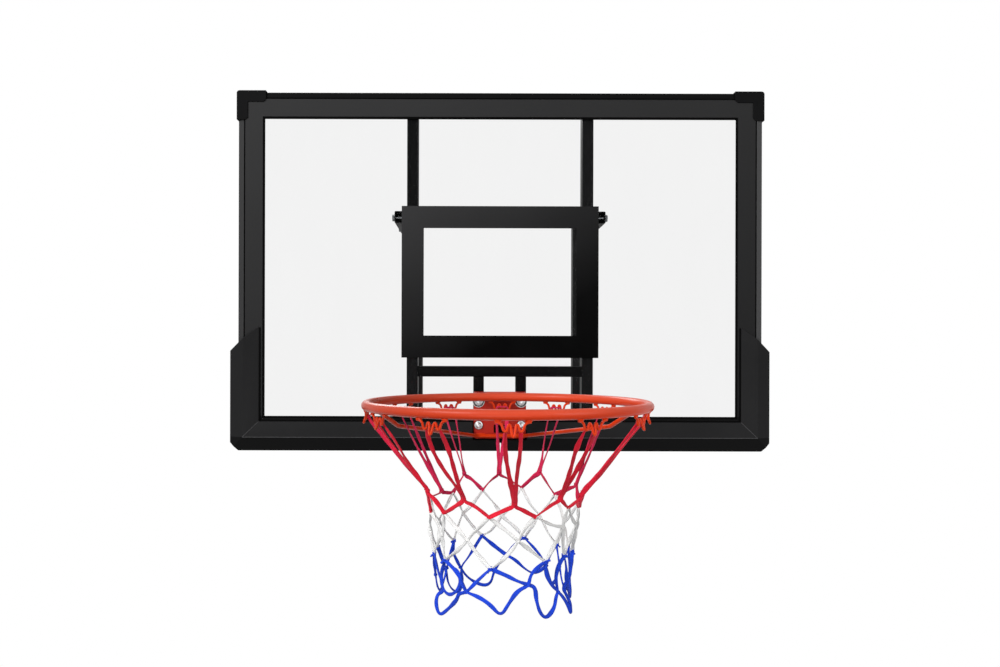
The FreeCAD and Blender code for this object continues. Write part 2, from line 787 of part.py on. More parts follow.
def make_rim():
    """Ring of round bar and the bent sheet plate that is coped to it."""
    ring = doc.addObject("Part::Torus", "rim_ring")
    bind(ring, Radius1="ring_inside / 2 + ring_rod / 2", Radius2="ring_rod / 2")
    place(ring, "0", RING_Y, RING_Z)
    pieces.append(ring)

    blank = new_body("rim_plate_blank", listed=False)
    profile = sketch_on(blank, "x")
    tongue_low = "tongue_lift - rim_sheet"
    draw_polygon(profile, [
        ("0", "-rim_plate_drop"),
        ("0", "tongue_lift"),
        (f"-{TONGUE_REACH}", "tongue_lift"),
        (f"-{TONGUE_REACH}", tongue_low),
        ("-rim_sheet", tongue_low),
        ("-rim_sheet", "-rim_plate_drop"),
    ])
    pad(blank, profile, "rim_plate_width", symmetric=True)
    low = number(tongue_low)
    sheet_front = -number("rim_sheet")
    lift = number("tongue_lift")
    round_edges(blank, "rim_bend", lambda at, along: near(at.y, sheet_front) and near(at.z, low))
    round_edges(blank, "rim_bend + rim_sheet", lambda at, along: near(at.y, 0) and near(at.z, lift))
    foot = -number("rim_plate_drop")
    round_edges(blank, "rim_plate_round", lambda at, along: near(at.z, foot) and abs(along.y) > 0.9)

    taper = sketch_on(blank, "z")
    for sign in SIDES.values():
        past = f"{sign} * (rim_plate_width / 2 + {OVERCUT})"
        root = "-(rim_sheet + rim_bend)"
        draw_polygon(taper, [
            (f"{sign} * rim_plate_width / 2", root),
            (past, root),
            (past, f"-{TONGUE_REACH}"),
            (f"{sign} * tongue_tip / 2", f"-{TONGUE_REACH}"),
        ])
    cut_through(blank, taper)

    openings = sketch_on(blank, "y")
    for sign in SIDES.values():
        for row in (RIM_BOLT_TOP, RIM_BOLT_LOW):
            draw_circle(openings, f"{sign} * rim_bolt_pitch / 2", row, FIXED_HOLE)
    slot_low = "slot_rise - rim_plate_drop - slot_height / 2"
    draw_rectangle(openings, "-slot_width / 2", slot_low, "slot_width / 2", f"{slot_low} + slot_height")
    cut_through(blank, openings)
    place(blank, "0", PANEL_Y, RING_Z)

    plate = doc.addObject("Part::Cut", "rim_plate")
    plate.Base = blank
    plate.Tool = ring
    pieces.append(plate)


def rounded_path(points, radii):
    """Straight runs through the points, joined by tangent arcs at the inner points."""
    edges = []
    start = points[0]
    for before, corner, after, radius in zip(points, points[1:], points[2:], radii):
        back = (before - corner).normalize()
        ahead = (after - corner).normalize()
        half_turn = (math.pi - back.getAngle(ahead)) / 2
        leg = radius * math.tan(half_turn)
        inward = (back + ahead).normalize()
        crown = corner + inward * (radius / math.cos(half_turn) - radius)
        enter = corner + back * leg
        leave = corner + ahead * leg
        edges.append(Part.LineSegment(start, enter).toShape())
        edges.append(Part.Arc(enter, crown, leave).toShape())
        start = leave
    edges.append(Part.LineSegment(start, points[-1]).toShape())
    return Part.Wire(edges)


def round_section(points, diameter):
    """Circle across the first run of a route."""
    return Part.Wire(Part.makeCircle(diameter / 2, points[0], points[1] - points[0]))


def ring_frame():
    """Centre of the ring and radius of its bar's centreline."""
    return Vector(0, number(RING_Y), number(RING_Z)), number("ring_inside / 2 + ring_rod / 2")


def make_brace():
    """One bent rod: from under the ring, along the foot of the plate, and up to the ring again."""
    centre, radius = ring_frame()
    rod = number("brace_rod")
    angle = math.radians(number("brace_tip_angle"))
    under = number("ring_rod / 2") + rod / 2
    tip = centre + Vector(radius * math.cos(angle), radius * math.sin(angle), -under)
    panel = number(PANEL_Y)
    elbow = Vector(number("brace_elbow_out"), panel - number("brace_elbow_reach"),
                   centre.z - number("brace_elbow_drop"))
    foot = Vector(number("brace_start"), panel - number("rim_sheet") - rod / 2,
                  centre.z - number("rim_plate_drop") + number("brace_rise"))
    half = [tip, elbow, foot]
    points = half + [Vector(-point.x, point.y, point.z) for point in reversed(half)]
    bend = number("brace_bend")
    corner = number("brace_corner")
    path = rounded_path(points, [bend, corner, corner, bend])
    shaped("rim_brace", path.makePipeShell([round_section(points, rod)], True, False))


def hook_turns():
    """Degrees of each hook from the front of the ring, once round from the front one."""
    rows = ((0, "front_hook_step", FRONT_HOOKS), (180, "rear_hook_step", REAR_HOOKS))
    turns = []
    for middle, step, count in rows:
        turns += [middle + number(step) * (index - count // 2) for index in range(count)]
    return sorted(turn % 360 for turn in turns)


def make_hooks():
    """Bent wire hooks under the ring: a tail, a cradle and a peak on each side of a hanging tip."""
    centre, radius = ring_frame()
    wire = number("hook_wire")
    shoulder_z = -number("ring_rod / 2") - wire / 2
    half = [
        (number("hook_tail"), 0, 0),
        (number("hook_shoulder"), 0, 0),
        (number("hook_cradle_out"), number("hook_cradle_drop"), 0),
        (number("hook_cradle_in"), number("hook_cradle_drop"), 0),
        (number("hook_peak_out"), number("hook_peak_drop"), 0),
        (number("hook_peak_in"), number("hook_peak_drop"), 0),
        (number("hook_tip"), number("hook_tip_drop"), number("hook_tip_out")),
    ]
    route = half + [(-along, drop, out) for along, drop, out in reversed(half)]
    points = [Vector(along, -radius - out, shoulder_z - drop) for along, drop, out in route]
    hook = Part.makePolygon(points).makePipeShell([round_section(points, wire)], True, False, 1)
    copies = []
    for turn in hook_turns():
        copy = hook.copy()
        copy.rotate(Vector(), Vector(0, 0, 1), turn)
        copies.append(copy)
    shaped("net_hooks", Part.makeCompound(copies), Placement(centre, Rotation()))


# Net


def net_rows():
    """Distance below the ring plane and radius of each row, from the hooks to the hem."""
    names = ("red_knot", "red_end", "white_knot", "white_end", "blue_knot", "hem")
    top = (number("net_top_drop"), number("ring_inside / 2 + ring_rod / 2 - hook_wire / 2 - net_gap"))
    return [top] + [(number(f"{name}_drop"), number(f"{name}_radius")) for name in names]


def faceted_solid(rows, sides):
    """Closed stack of frustums with flat sides, one side square to every knot."""
    half_step = math.pi / sides
    angles = [half_step * (2 * index + 1) for index in range(sides)]
    rings = []
    for drop, radius in rows:
        rings.append([Vector(radius * math.sin(a), -radius * math.cos(a), -drop) for a in angles])
    faces = [Part.Face(Part.makePolygon(ring + ring[:1])) for ring in (rings[0], rings[-1])]
    for upper, lower in zip(rings, rings[1:]):
        for index in range(sides):
            following = (index + 1) % sides
            corners = [upper[index], upper[following], lower[following], lower[index], upper[index]]
            faces.append(Part.Face(Part.makePolygon(corners)))
    return Part.Solid(Part.Shell(faces))


def net_cell(corners, turn):
    """Prism that opens one mesh of the net: the outline between cord centres, drawn in by half a cord."""
    reach = number("ring_inside / 2")
    start = number("hem_radius / 2")
    points = [Vector(along, -start, -drop) for along, drop in corners]
    outline = Part.Face(Part.makePolygon(points + points[:1])).makeOffset2D(-number("net_cord / 2"), 2)
    cell = outline.extrude(Vector(0, -reach, 0))
    cell.rotate(Vector(), Vector(0, 0, 1), turn)
    return cell


def top_cells(rows, turns):
    """Meshes of the long loops: one inside each loop, from hook to knot, and one between loops."""
    (top, top_radius), (knot, knot_radius), (end, end_radius) = rows[:3]
    cord = number("net_cord")
    step = 360 / len(turns)
    loop_turn = math.degrees(math.asin(number("net_loop") / top_radius))
    above = top - cord
    knot_half = knot_radius * math.sin(math.radians(step / 2))

    def across(turn, middle):
        return top_radius * math.sin(math.radians(turn - middle))

    def carried_up(along, foot):
        return along + (along - foot) * cord / (knot - top)

    cells = []
    for index, turn in enumerate(turns):
        following = turns[(index + 1) % len(turns)] + 360 * (index + 1 == len(turns))
        below = step * index
        left = across(turn - loop_turn, below)
        right = across(turn + loop_turn, below)
        low = top + cord / 2
        cells.append(net_cell([(left, low), (right, low), (0, knot)], below))
        middle = below + step / 2
        left = carried_up(across(turn + loop_turn, middle), -knot_half)
        right = carried_up(across(following - loop_turn, middle), knot_half)
        cells.append(net_cell([(left, above), (right, above), (knot_half, knot), (0, end),
                               (-knot_half, knot)], middle))
    return cells


def make_net():
    """Net of three coloured bands: a thin faceted shell with its meshes cut out."""
    turns = hook_turns()
    count = len(turns)
    step = 360 / count
    cord = number("net_cord")
    rows = net_rows()
    knots = rows[1:]
    drops = [drop for drop, radius in knots]
    spread = [radius * math.sin(math.radians(step / 2)) for drop, radius in knots]
    hem_low = drops[5] + cord
    hem_half = spread[5] * (1 + cord / (drops[5] - drops[4]))

    below_hooks = [
        [(0, drops[0]), (spread[1], drops[1]), (0, drops[2]), (-spread[1], drops[1])],
        [(0, drops[2]), (spread[3], drops[3]), (0, drops[4]), (-spread[3], drops[3])],
        [(0, drops[4]), (hem_half, hem_low), (-hem_half, hem_low)],
    ]
    between_hooks = [
        [(0, drops[1]), (spread[2], drops[2]), (0, drops[3]), (-spread[2], drops[2])],
        [(0, drops[3]), (spread[4], drops[4]), (0, drops[5]), (-spread[4], drops[4])],
    ]
    cutters = top_cells(rows, turns)
    for cells, shift in ((below_hooks, 0), (between_hooks, 0.5)):
        for corners in cells:
            cutters += [net_cell(corners, step * (index + shift)) for index in range(count)]

    outer_rows = rows[:-1] + [(drops[5] + cord / 2, knots[5][1])]
    wall = number("net_thickness")
    inner_rows = [(drop, radius - wall) for drop, radius in outer_rows]
    sides = NET_SIDES * count
    shell = faceted_solid(outer_rows, sides).cut(faceted_solid(inner_rows, sides))
    mesh = shell.cut(Part.makeCompound(cutters))

    centre, radius = ring_frame()
    bands = (("net_red", 0, drops[1]), ("net_white", drops[1], drops[3]), ("net_blue", drops[3], hem_low))
    width = 4 * radius
    for label, high, low in bands:
        slab = Part.makeBox(width, width, low - high, Vector(-width / 2, -width / 2, -low))
        shaped(label, mesh.common(slab), Placement(centre, Rotation()))


def write_pieces():
    """Stop on any failed object or bad shape, then write every piece."""
    doc.recompute()
    for item in doc.Objects:
        if "Invalid" in item.State or "Error" in item.State:
            raise RuntimeError(f"{item.Label}: {item.State}")
    for item in pieces:
        if item.Shape.isNull() or not item.Shape.isValid() or not item.Shape.Solids:
            raise RuntimeError(f"{item.Label}: no valid solid")
    os.makedirs("parts", exist_ok=True)
    for item in pieces:
        item.Shape.exportStep(f"parts/{item.Label}.step")


make_uprights()
make_arms()
make_edge_frame()
make_panel()
make_target()
make_bead()
make_trims()
make_corner_caps()
make_guard_pads()
make_wall_plates()
make_tube_plugs()
make_rim()
make_brace()
make_hooks()
make_net()
make_pivot_hardware()
make_rim_hardware()
write_pieces()
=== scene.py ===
import bpy
import json
import math
import random
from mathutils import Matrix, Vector, noise


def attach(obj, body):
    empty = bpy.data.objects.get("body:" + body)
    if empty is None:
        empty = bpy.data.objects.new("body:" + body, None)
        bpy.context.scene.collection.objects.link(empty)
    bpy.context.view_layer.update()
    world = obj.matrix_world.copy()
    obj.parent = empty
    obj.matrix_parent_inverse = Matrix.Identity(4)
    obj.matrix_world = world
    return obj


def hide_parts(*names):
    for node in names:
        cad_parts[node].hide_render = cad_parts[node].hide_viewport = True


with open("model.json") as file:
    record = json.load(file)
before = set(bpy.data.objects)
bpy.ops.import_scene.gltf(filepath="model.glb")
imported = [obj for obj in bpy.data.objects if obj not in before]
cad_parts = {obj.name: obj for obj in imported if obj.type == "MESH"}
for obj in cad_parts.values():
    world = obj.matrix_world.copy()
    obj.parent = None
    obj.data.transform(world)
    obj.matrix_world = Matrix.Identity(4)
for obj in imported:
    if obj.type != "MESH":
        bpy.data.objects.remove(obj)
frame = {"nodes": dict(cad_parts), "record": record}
nodes = frame["nodes"]
record = frame["record"]
bodies = {node: body for body, members in record["behaviour"]["bodies"].items() for node in members}
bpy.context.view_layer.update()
scene = bpy.context.scene

MM = 0.001
UP = Vector((0, 0, 1))
SIDES = (("left", -1), ("right", 1))

# Camera, from the photograph's vanishing point and the widths of board and ring
PHOTO_WIDTH = 1000
PHOTO_HEIGHT = 667
FOCAL_PIXELS = 920.8
VANISHING_POINT = (471, 346.6)
CAMERA_PLACE = Vector((-0.060, -2.136, -0.0578))
SENSOR_WIDTH = 36
CAMERA_ROLL = math.radians(-0.15)
VIEW_END = 100

# Softboxes: place, point they aim at, width and height, in metres, and power in watts
SOFTBOXES = {
    "key_softbox": ((-2.2, -2.6, 1.75), (0, -0.3, -0.1), (1.6, 1.6), 112),
    "fill_softbox": ((2.4, -2.7, 0.5), (0, -0.3, -0.1), (1.6, 1.6), 40),
    "low_softbox": ((-0.3, -2.9, -1.0), (0, -0.5, -0.2), (1.8, 0.8), 19),
    "rear_softbox": ((-1.3, 3.3, 2.4), (0, 0, 0), (2.0, 2.0), 110),
}
AIR_LIGHT = 0.16

# Floor: size, level and distances between which it fades into the white, in metres
FLOOR_SIZE = 40
FLOOR_LEVEL = -1.6
FLOOR_FADE = (1.9, 2.25)

# Ring: centre in metres, radius to its bar's middle and radius of the welded bar in millimetres
RING_CENTRE = Vector((0, -603, -154.3)) * MM
RING_RADIUS = 233
WELDED_BAR_RADIUS = 8.6

# Levels about the ring's middle between which the painted highlight on its crown fades in, in metres
CROWN_HIGHLIGHT_BAND = (-0.005, 0.003)

# Painted light on the rim's paint: tints at the left and right ends of the ring, darker to the left and
# lighter to the right
RIM_END_PAINTED_LIGHT = (0.84, 1.4)

# Trim, in metres: outer edges, foot, strip along the edges and slot beside it
TRIM_HALF = 0.543
TRIM_TOP = 0.4685
TRIM_FOOT = -0.2025
STRIP_WIDTH = 0.0115
SLOT_MIDDLE = 0.0128
SLOT_HALF = 0.0014

# Painted light on the trim: its face darker low right and lighter high left, painted highlights on the
# side strips, and painted shade on the top strip, the foot and the slot
TRIM_FACE_PAINTED_LIGHT = (0.5, 1.35)
TRIM_RUN_PAINTED_LIGHT = {"left": 1.5, "right": 2.6, "top": 0.22, "foot": 0.25, "slot": 0.18}

# Rear face of the panel, band behind it over which the painted shade on tube faces against it fades out,
# and the uprights' inner faces, outside which that painted shade is lighter
PANEL_BACK = -0.22
PAINTED_SHADE_FADE = (0.002, 0.01)
UPRIGHT_INSIDE = 0.1705

# Guard pads, in millimetres: the ridge round their front, from the rim plate to its corner and inwards
RIDGE_START = 56.3
PAD_RIDGE_X = 531
PAD_RIDGE_Y = -240
PAD_RIDGE_Z = -245.5
PAD_INNER_CORNER = (499.6, -231, -213.9)
RIDGE_RADIUS = 0.8
CORNER_RADIUS = 0.6

# Rounding of edges, in metres
PAD_EDGE = 0.0013
CAP_EDGE = 0.0022
TRIM_EDGE = 0.0007
WALL_PLATE_EDGE = 0.0008
PLUG_EDGE = 0.0009
BEAD_EDGE = 0.0008
BOLT_EDGE = 0.0012
NUT_EDGE = 0.0006
WASHER_EDGE = 0.0003
RIM_PLATE_EDGE = 0.0009
LIP_EDGE = 0.0005
SHARP_ANGLE = math.radians(24)

# Merging: distance between points, in metres, and angle between parts of a flat face
MERGE_DISTANCE = 0.00001
WIRE_MERGE_DISTANCE = 0.000005
FLAT_ANGLE = math.radians(0.6)

# Shortest edge that counts as a long run, in metres
LONG_EDGE = 0.1

# Colours
WHITE = (1, 1, 1, 1)
BLACK = (0, 0, 0, 1)
BLACK_COAT = (0.018, 0.018, 0.0185, 1)
# Painted shade for black coat on faces against the panel
BLACK_COAT_PAINTED_SHADE = (0.0034, 0.0034, 0.0036, 1)
BLACK_TRIM = (0.027, 0.027, 0.0275, 1)
BLACK_MOULDING = (0.0135, 0.0135, 0.014, 1)
BLACK_RUBBER = (0.0008, 0.0008, 0.0008, 1)
DUSTY_RUBBER = (0.003, 0.003, 0.003, 1)
BLACK_FILM = (0.0003, 0.0003, 0.0003, 1)
# Painted reflection colour on the target film
GREY_FILM_PAINTED_REFLECTION = (0.038, 0.038, 0.039, 1)
SHEET_CAST = (0.008, 0.0085, 0.0085, 1)
RIM_ORANGE = (0.6, 0.036, 0.004, 1)
# Painted highlight colour for the ring's crown
RIM_CROWN_HIGHLIGHT = (0.56, 0.064, 0.028, 1)
# Rim plate: a darker copy of the rim's orange, painted shade under the ring
PLATE_ORANGE_SHADED = (0.4, 0.022, 0.014, 1)
CORD_RED = (0.78, 0.005, 0.03, 1)
# Painted light: pinker red for the cords near the board
CORD_RED_REAR_PAINTED_LIGHT = (0.68, 0.011, 0.08, 1)
CORD_WHITE = (0.88, 0.88, 0.87, 1)
CORD_BLUE = (0.006, 0.062, 0.74, 1)
ZINC = (0.55, 0.56, 0.57, 1)
ZINC_DULL = (0.12, 0.125, 0.13, 1)
FLOOR_DARK = (0.38, 0.38, 0.38, 1)
FLOOR_LIGHT = (0.42, 0.42, 0.42, 1)
FLOOR_GLOW = (0.82, 0.82, 0.82, 1)
FLOOR_UNSEEN = (0.06, 0.06, 0.06, 1)


# Shading


class Socket:
    """An output of a shader node that takes part in sums."""

    def __init__(self, shading, out):
        self.shading = shading
        self.out = out

    def __add__(self, other):
        return self.shading.math("ADD", self, other)

    def __sub__(self, other):
        return self.shading.math("SUBTRACT", self, other)

    def __rsub__(self, other):
        return self.shading.math("SUBTRACT", other, self)

    def __mul__(self, other):
        return self.shading.math("MULTIPLY", self, other)


class Shading:
    """The node tree of one material or of the world."""

    def __init__(self, owner):
        owner.use_nodes = True
        self.owner = owner
        self.tree = owner.node_tree
        self.tree.nodes.clear()

    def node(self, kind, settings=None, inputs=None, output=0):
        """Add a node with its settings and the values or links of its sockets."""
        made = self.tree.nodes.new(kind)
        for name, value in (settings or {}).items():
            setattr(made, name, value)
        for name, value in (inputs or {}).items():
            socket = made.inputs[name]
            if isinstance(value, Socket):
                self.tree.links.new(value.out, socket)
            else:
                socket.default_value = value
        return Socket(self, made.outputs[output]) if made.outputs else None

    def math(self, operation, first, second=0.0, third=0.0):
        return self.node("ShaderNodeMath", {"operation": operation}, {0: first, 1: second, 2: third})

    def place(self):
        return self.node("ShaderNodeTexCoord", output="Object")

    def along(self, vector, axis):
        return self.node("ShaderNodeSeparateXYZ", inputs={0: vector}, output=axis)

    def noise(self, vector, scale=1.0, detail=2.0):
        return self.node("ShaderNodeTexNoise", inputs={
            "Vector": vector, "Scale": scale, "Detail": detail})

    def stretch(self, vector, scale):
        return self.node("ShaderNodeMapping", inputs={"Vector": vector, "Scale": scale})

    def remap(self, value, start, end, low, high):
        return self.node("ShaderNodeMapRange", inputs={
            "Value": value, "From Min": start, "From Max": end, "To Min": low, "To Max": high})

    def rise(self, value, start, end):
        """0 up to the start, 1 from the end on, and a straight slope between them."""
        return self.remap(value, start, end, 0.0, 1.0)

    def spread(self, value, low=0.0, high=1.0):
        """Move a noise from its usual middle band to the given limits."""
        return self.remap(value, 0.3, 0.7, low, high)

    def mix(self, factor, first, second):
        sockets = {0: factor, 6: first, 7: second}
        return self.node("ShaderNodeMix", {"data_type": "RGBA"}, sockets, output=2)

    def bump(self, height, distance, strength):
        return self.node("ShaderNodeBump", inputs={
            "Height": height, "Distance": distance, "Strength": strength})

    def surface(self, **inputs):
        named = {name.replace("_", " "): value for name, value in inputs.items()}
        shader = self.node("ShaderNodeBsdfPrincipled", inputs=named)
        self.node("ShaderNodeOutputMaterial", inputs={"Surface": shader})
        return self.owner


def tint(colour, factor):
    return tuple(min(1.0, channel * factor) for channel in colour[:3]) + (1,)


def new_shading(name):
    """A new material's shading, and the place on its object."""
    shading = Shading(bpy.data.materials.new(name))
    return shading, shading.place()


def powder_coat():
    """Baked powder paint: a fine orange peel, uneven gloss, and painted shade on faces against the
    panel, lighter on the uprights.
    """
    shading, place = new_shading("black_powder_coat")
    start, end = (PANEL_BACK + depth for depth in PAINTED_SHADE_FADE)
    clear_of_painted_shade = shading.rise(shading.along(place, "Y"), start, end)
    from_middle = shading.math("ABSOLUTE", shading.along(place, "X"))
    upright = shading.math("GREATER_THAN", from_middle, UPRIGHT_INSIDE)
    # Painted shade: faces against the panel are darker, less dark on the uprights
    against = shading.mix(upright, BLACK_COAT_PAINTED_SHADE, tint(BLACK_COAT_PAINTED_SHADE, 2.6))
    body = shading.mix(clear_of_painted_shade, against, BLACK_COAT)
    peel = shading.noise(place, scale=700)
    cloud = shading.noise(place, scale=9, detail=3.0)
    speck = shading.noise(place, scale=2600, detail=1.0)
    return shading.surface(
        Base_Color=shading.mix(shading.spread(cloud, high=0.3), body, tint(BLACK_COAT, 0.6)),
        Roughness=shading.spread(cloud * 0.6 + speck * 0.4, low=0.38, high=0.52),
        Specular_IOR_Level=0.025,
        Normal=shading.bump(peel, distance=0.00006, strength=0.1))


def trim_coat():
    """Satin coat on extruded trim: faint draw lines along the length, a soft sheen, and painted light:
    the face lighter high left, painted highlights on the side strips and painted shade on the top strip,
    foot and slot.
    """
    shading, place = new_shading("black_trim_coat")
    cloud = shading.noise(place, scale=4, detail=3.0)
    draw_lines = shading.noise(shading.stretch(place, (1.5, 1400, 1.5)))
    speck = shading.noise(place, scale=1900, detail=1.0)
    across, up = shading.along(place, "X"), shading.along(place, "Z")
    from_top = TRIM_TOP - up
    from_side = TRIM_HALF - shading.math("ABSOLUTE", across)
    from_edge = shading.math("MINIMUM", from_top, from_side)
    painted_light_slope = shading.rise(up - across * 0.35, -0.35, 0.6)
    dark, light = (tint(BLACK_TRIM, factor) for factor in TRIM_FACE_PAINTED_LIGHT)
    runs = {run: tint(BLACK_TRIM, factor) for run, factor in TRIM_RUN_PAINTED_LIGHT.items()}

    # Painted light: lighter side strips, painted shade on the top strip, foot and slot, and a face
    # sloping from dark low right to light high left
    side_painted_light = shading.mix(shading.math("GREATER_THAN", across, 0.0), runs["left"], runs["right"])
    colour = shading.mix(painted_light_slope * 0.8 + cloud * 0.2, dark, light)
    colour = shading.mix(shading.math("LESS_THAN", from_side, STRIP_WIDTH), colour, side_painted_light)
    colour = shading.mix(shading.math("LESS_THAN", from_top, STRIP_WIDTH), colour, runs["top"])
    colour = shading.mix(shading.math("LESS_THAN", up, TRIM_FOOT), colour, runs["foot"])
    in_slot = shading.math("COMPARE", from_edge, SLOT_MIDDLE, SLOT_HALF)
    colour = shading.mix(in_slot, colour, runs["slot"])
    return shading.surface(
        Base_Color=colour,
        Roughness=shading.spread(cloud * 0.5 + speck * 0.5, low=0.42, high=0.52),
        Specular_IOR_Level=0.015,
        Normal=shading.bump(draw_lines * 0.5 + speck * 0.5, distance=0.00012, strength=0.2))


def moulding(name, colour, rough, level, underside_painted_shade=1.0):
    """Moulded plastic with a fine spark-eroded grain, and painted shade below the pads' ridge."""
    shading, place = new_shading(name)
    # Painted shade: faces below the pads' ridge take the darker underside tint
    below = shading.math("LESS_THAN", shading.along(place, "Z"), PAD_RIDGE_Z * MM)
    grain = shading.node("ShaderNodeTexVoronoi", inputs={"Vector": place, "Scale": 950})
    fine = shading.noise(place, scale=1700)
    flow = shading.noise(place, scale=5, detail=4.0)
    upper = shading.mix(shading.spread(flow), tint(colour, 0.85), tint(colour, 1.25))
    return shading.surface(
        Base_Color=shading.mix(below, upper, tint(colour, underside_painted_shade)),
        Roughness=shading.spread(fine * 0.5 + flow * 0.5, rough - 0.06, rough + 0.06),
        Specular_IOR_Level=level,
        Normal=shading.bump(grain * 0.6 + fine * 0.6, distance=0.0002, strength=0.25))


def zinc_plate(name, colour):
    """Zinc-plated steel with cloudy gloss and fine drag marks."""
    shading, place = new_shading(name)
    cloud = shading.noise(place, scale=160, detail=3.0)
    drag = shading.noise(shading.stretch(place, (900, 900, 5200)))
    return shading.surface(
        Base_Color=shading.mix(shading.spread(cloud), tint(colour, 0.8), tint(colour, 1.15)),
        Metallic=1.0,
        Roughness=shading.spread(cloud * 0.5 + drag * 0.5, low=0.22, high=0.42),
        Normal=shading.bump(drag, distance=0.00008, strength=0.25))


def rim_paint(name, colour, rough, level, crown_highlight=None):
    """Thick orange-red paint with a slight peel, a painted highlight on the crown, and painted light
    that is darker to the left and fuller to the right.
    """
    shading, place = new_shading(name)
    low, high = (RING_CENTRE.z + level_from for level_from in CROWN_HIGHLIGHT_BAND)
    height = shading.rise(shading.along(place, "Z"), low, high)
    side = shading.rise(shading.along(place, "X"), -RING_RADIUS * MM, RING_RADIUS * MM)
    # Painted light: darker at the ring's left end, lighter at its right, with a painted highlight on the
    # crown above the band
    lower = shading.mix(side, *(tint(colour, factor) for factor in RIM_END_PAINTED_LIGHT))
    upper = shading.mix(side, *(tint(crown_highlight or colour, factor) for factor in RIM_END_PAINTED_LIGHT))
    peel = shading.noise(place, scale=420)
    cloud = shading.noise(place, scale=14, detail=3.0)
    body = shading.mix(height, lower, upper)
    return shading.surface(
        Base_Color=shading.mix(shading.spread(cloud, high=0.12), body, tint(colour, 0.8)),
        Roughness=shading.spread(cloud, rough - 0.05, rough + 0.05),
        Specular_IOR_Level=level,
        Normal=shading.bump(peel, distance=0.0002, strength=0.2))


def clear_sheet():
    """Clear plastic sheet with a faint grey cast and slight waves in its gloss."""
    shading, place = new_shading("clear_sheet")
    wave = shading.noise(place, scale=3)
    smear = shading.noise(shading.stretch(place, (26, 26, 8)), detail=4.0)
    return shading.surface(
        Base_Color=SHEET_CAST,
        Roughness=shading.spread(smear, low=0.04, high=0.09),
        Alpha=shading.spread(wave * 0.5 + smear * 0.5, low=0.056, high=0.061),
        Specular_IOR_Level=0.15,
        Normal=shading.bump(wave, distance=0.0006, strength=0.15))


def target_film():
    """Black printed film, satin, with a painted reflection that greys it towards its upper left corner.
    """
    shading, place = new_shading("target_film")
    painted_light_slope = shading.along(place, "Z") * 1.6 - shading.along(place, "X") * 0.85
    # Painted reflection: the film greys towards its upper left corner
    slope = shading.rise(painted_light_slope, -0.07, 0.52)
    speck = shading.noise(place, scale=1500)
    cloud = shading.noise(place, scale=7, detail=3.0)
    return shading.surface(
        Base_Color=shading.mix(slope * 0.85 + cloud * 0.15, BLACK_FILM, GREY_FILM_PAINTED_REFLECTION),
        Roughness=shading.spread(speck * 0.6 + cloud * 0.4, low=0.5, high=0.62),
        Specular_IOR_Level=0.01,
        Normal=shading.bump(speck, distance=0.00006, strength=0.2))


def rubber_bead():
    """Dull black rubber with a little dust."""
    shading, place = new_shading("rubber_bead")
    dust = shading.noise(place, scale=240, detail=3.0)
    return shading.surface(
        Base_Color=shading.mix(shading.spread(dust), BLACK_RUBBER, DUSTY_RUBBER),
        Roughness=shading.spread(dust, low=0.62, high=0.8),
        Specular_IOR_Level=0.02,
        Normal=shading.bump(dust, distance=0.0002, strength=0.3))


def braided_cord(name, colour, shade, rear=None):
    """Flat braided cord: plaits in a V with painted shade in their grooves, fuzz and uneven dye, and
    painted light near the board in another colour.
    """
    plaits_per_metre = 420
    plait_slant = 6
    shading, place = new_shading(name)
    layout = shading.node("ShaderNodeUVMap")
    fold = shading.math("PINGPONG", shading.along(layout, "X"), 0.25)
    turns = shading.along(layout, "Y") * plaits_per_metre + fold * plait_slant
    plait = shading.math("SINE", turns * (2 * math.pi))
    fuzz = shading.noise(place, scale=2200, detail=3.0)
    dye = shading.noise(place, scale=55, detail=3.0)
    # Painted shade in the plaits' grooves, mixed with uneven dye
    groove = plait * 0.5 + 0.5
    groove_shade_and_dye = groove * 0.55 + shading.spread(dye, high=0.45)
    # Painted light: near the board the cord takes its rear colour
    near_board_painted_light = shading.rise(shading.along(place, "Y"), -0.7, -0.5)
    front_dye, rear_painted_light = (
        shading.mix(groove_shade_and_dye, tint(base, shade), tint(base, 1.12)) for base in (colour, rear or colour))
    return shading.surface(
        Base_Color=shading.mix(near_board_painted_light, front_dye, rear_painted_light),
        Roughness=shading.spread(fuzz, low=0.72, high=0.9),
        Specular_IOR_Level=0.25,
        Sheen_Weight=0.15,
        Normal=shading.bump(groove * 0.7 + fuzz * 0.3, distance=0.0006, strength=0.5))


def background_ray(shading):
    """1 where the camera, a reflection or a clear sheet looks straight at the background."""
    camera, gloss, through = (
        shading.node("ShaderNodeLightPath", output=f"Is {kind} Ray")
        for kind in ("Camera", "Glossy", "Transmission"))
    return shading.math("MINIMUM", camera + gloss + through, 1.0)


# Modelling


def deselect():
    if bpy.context.object and bpy.context.object.mode != "OBJECT":
        bpy.ops.object.mode_set(mode="OBJECT")
    bpy.ops.object.select_all(action="DESELECT")


def activate(piece):
    deselect()
    bpy.context.view_layer.objects.active = piece
    piece.select_set(True)


def edit(piece, element="VERT"):
    activate(piece)
    bpy.ops.object.mode_set(mode="EDIT")
    bpy.ops.mesh.select_mode(type=element)


def pick_edges(piece, wanted):
    """Edit a mesh with only the edges selected that a test wants."""
    edit(piece, "EDGE")
    bpy.ops.mesh.select_all(action="DESELECT")
    bpy.ops.object.mode_set(mode="OBJECT")
    for line in piece.data.edges:
        line.select = wanted(line)
    edit(piece, "EDGE")


def close_up(piece, merge=None):
    """Merge points within a distance, if one is given, and turn faces outwards."""
    edit(piece)
    bpy.ops.mesh.select_all(action="SELECT")
    if merge:
        bpy.ops.mesh.remove_doubles(threshold=merge)
    bpy.ops.mesh.normals_make_consistent(inside=False)
    bpy.ops.object.mode_set(mode="OBJECT")


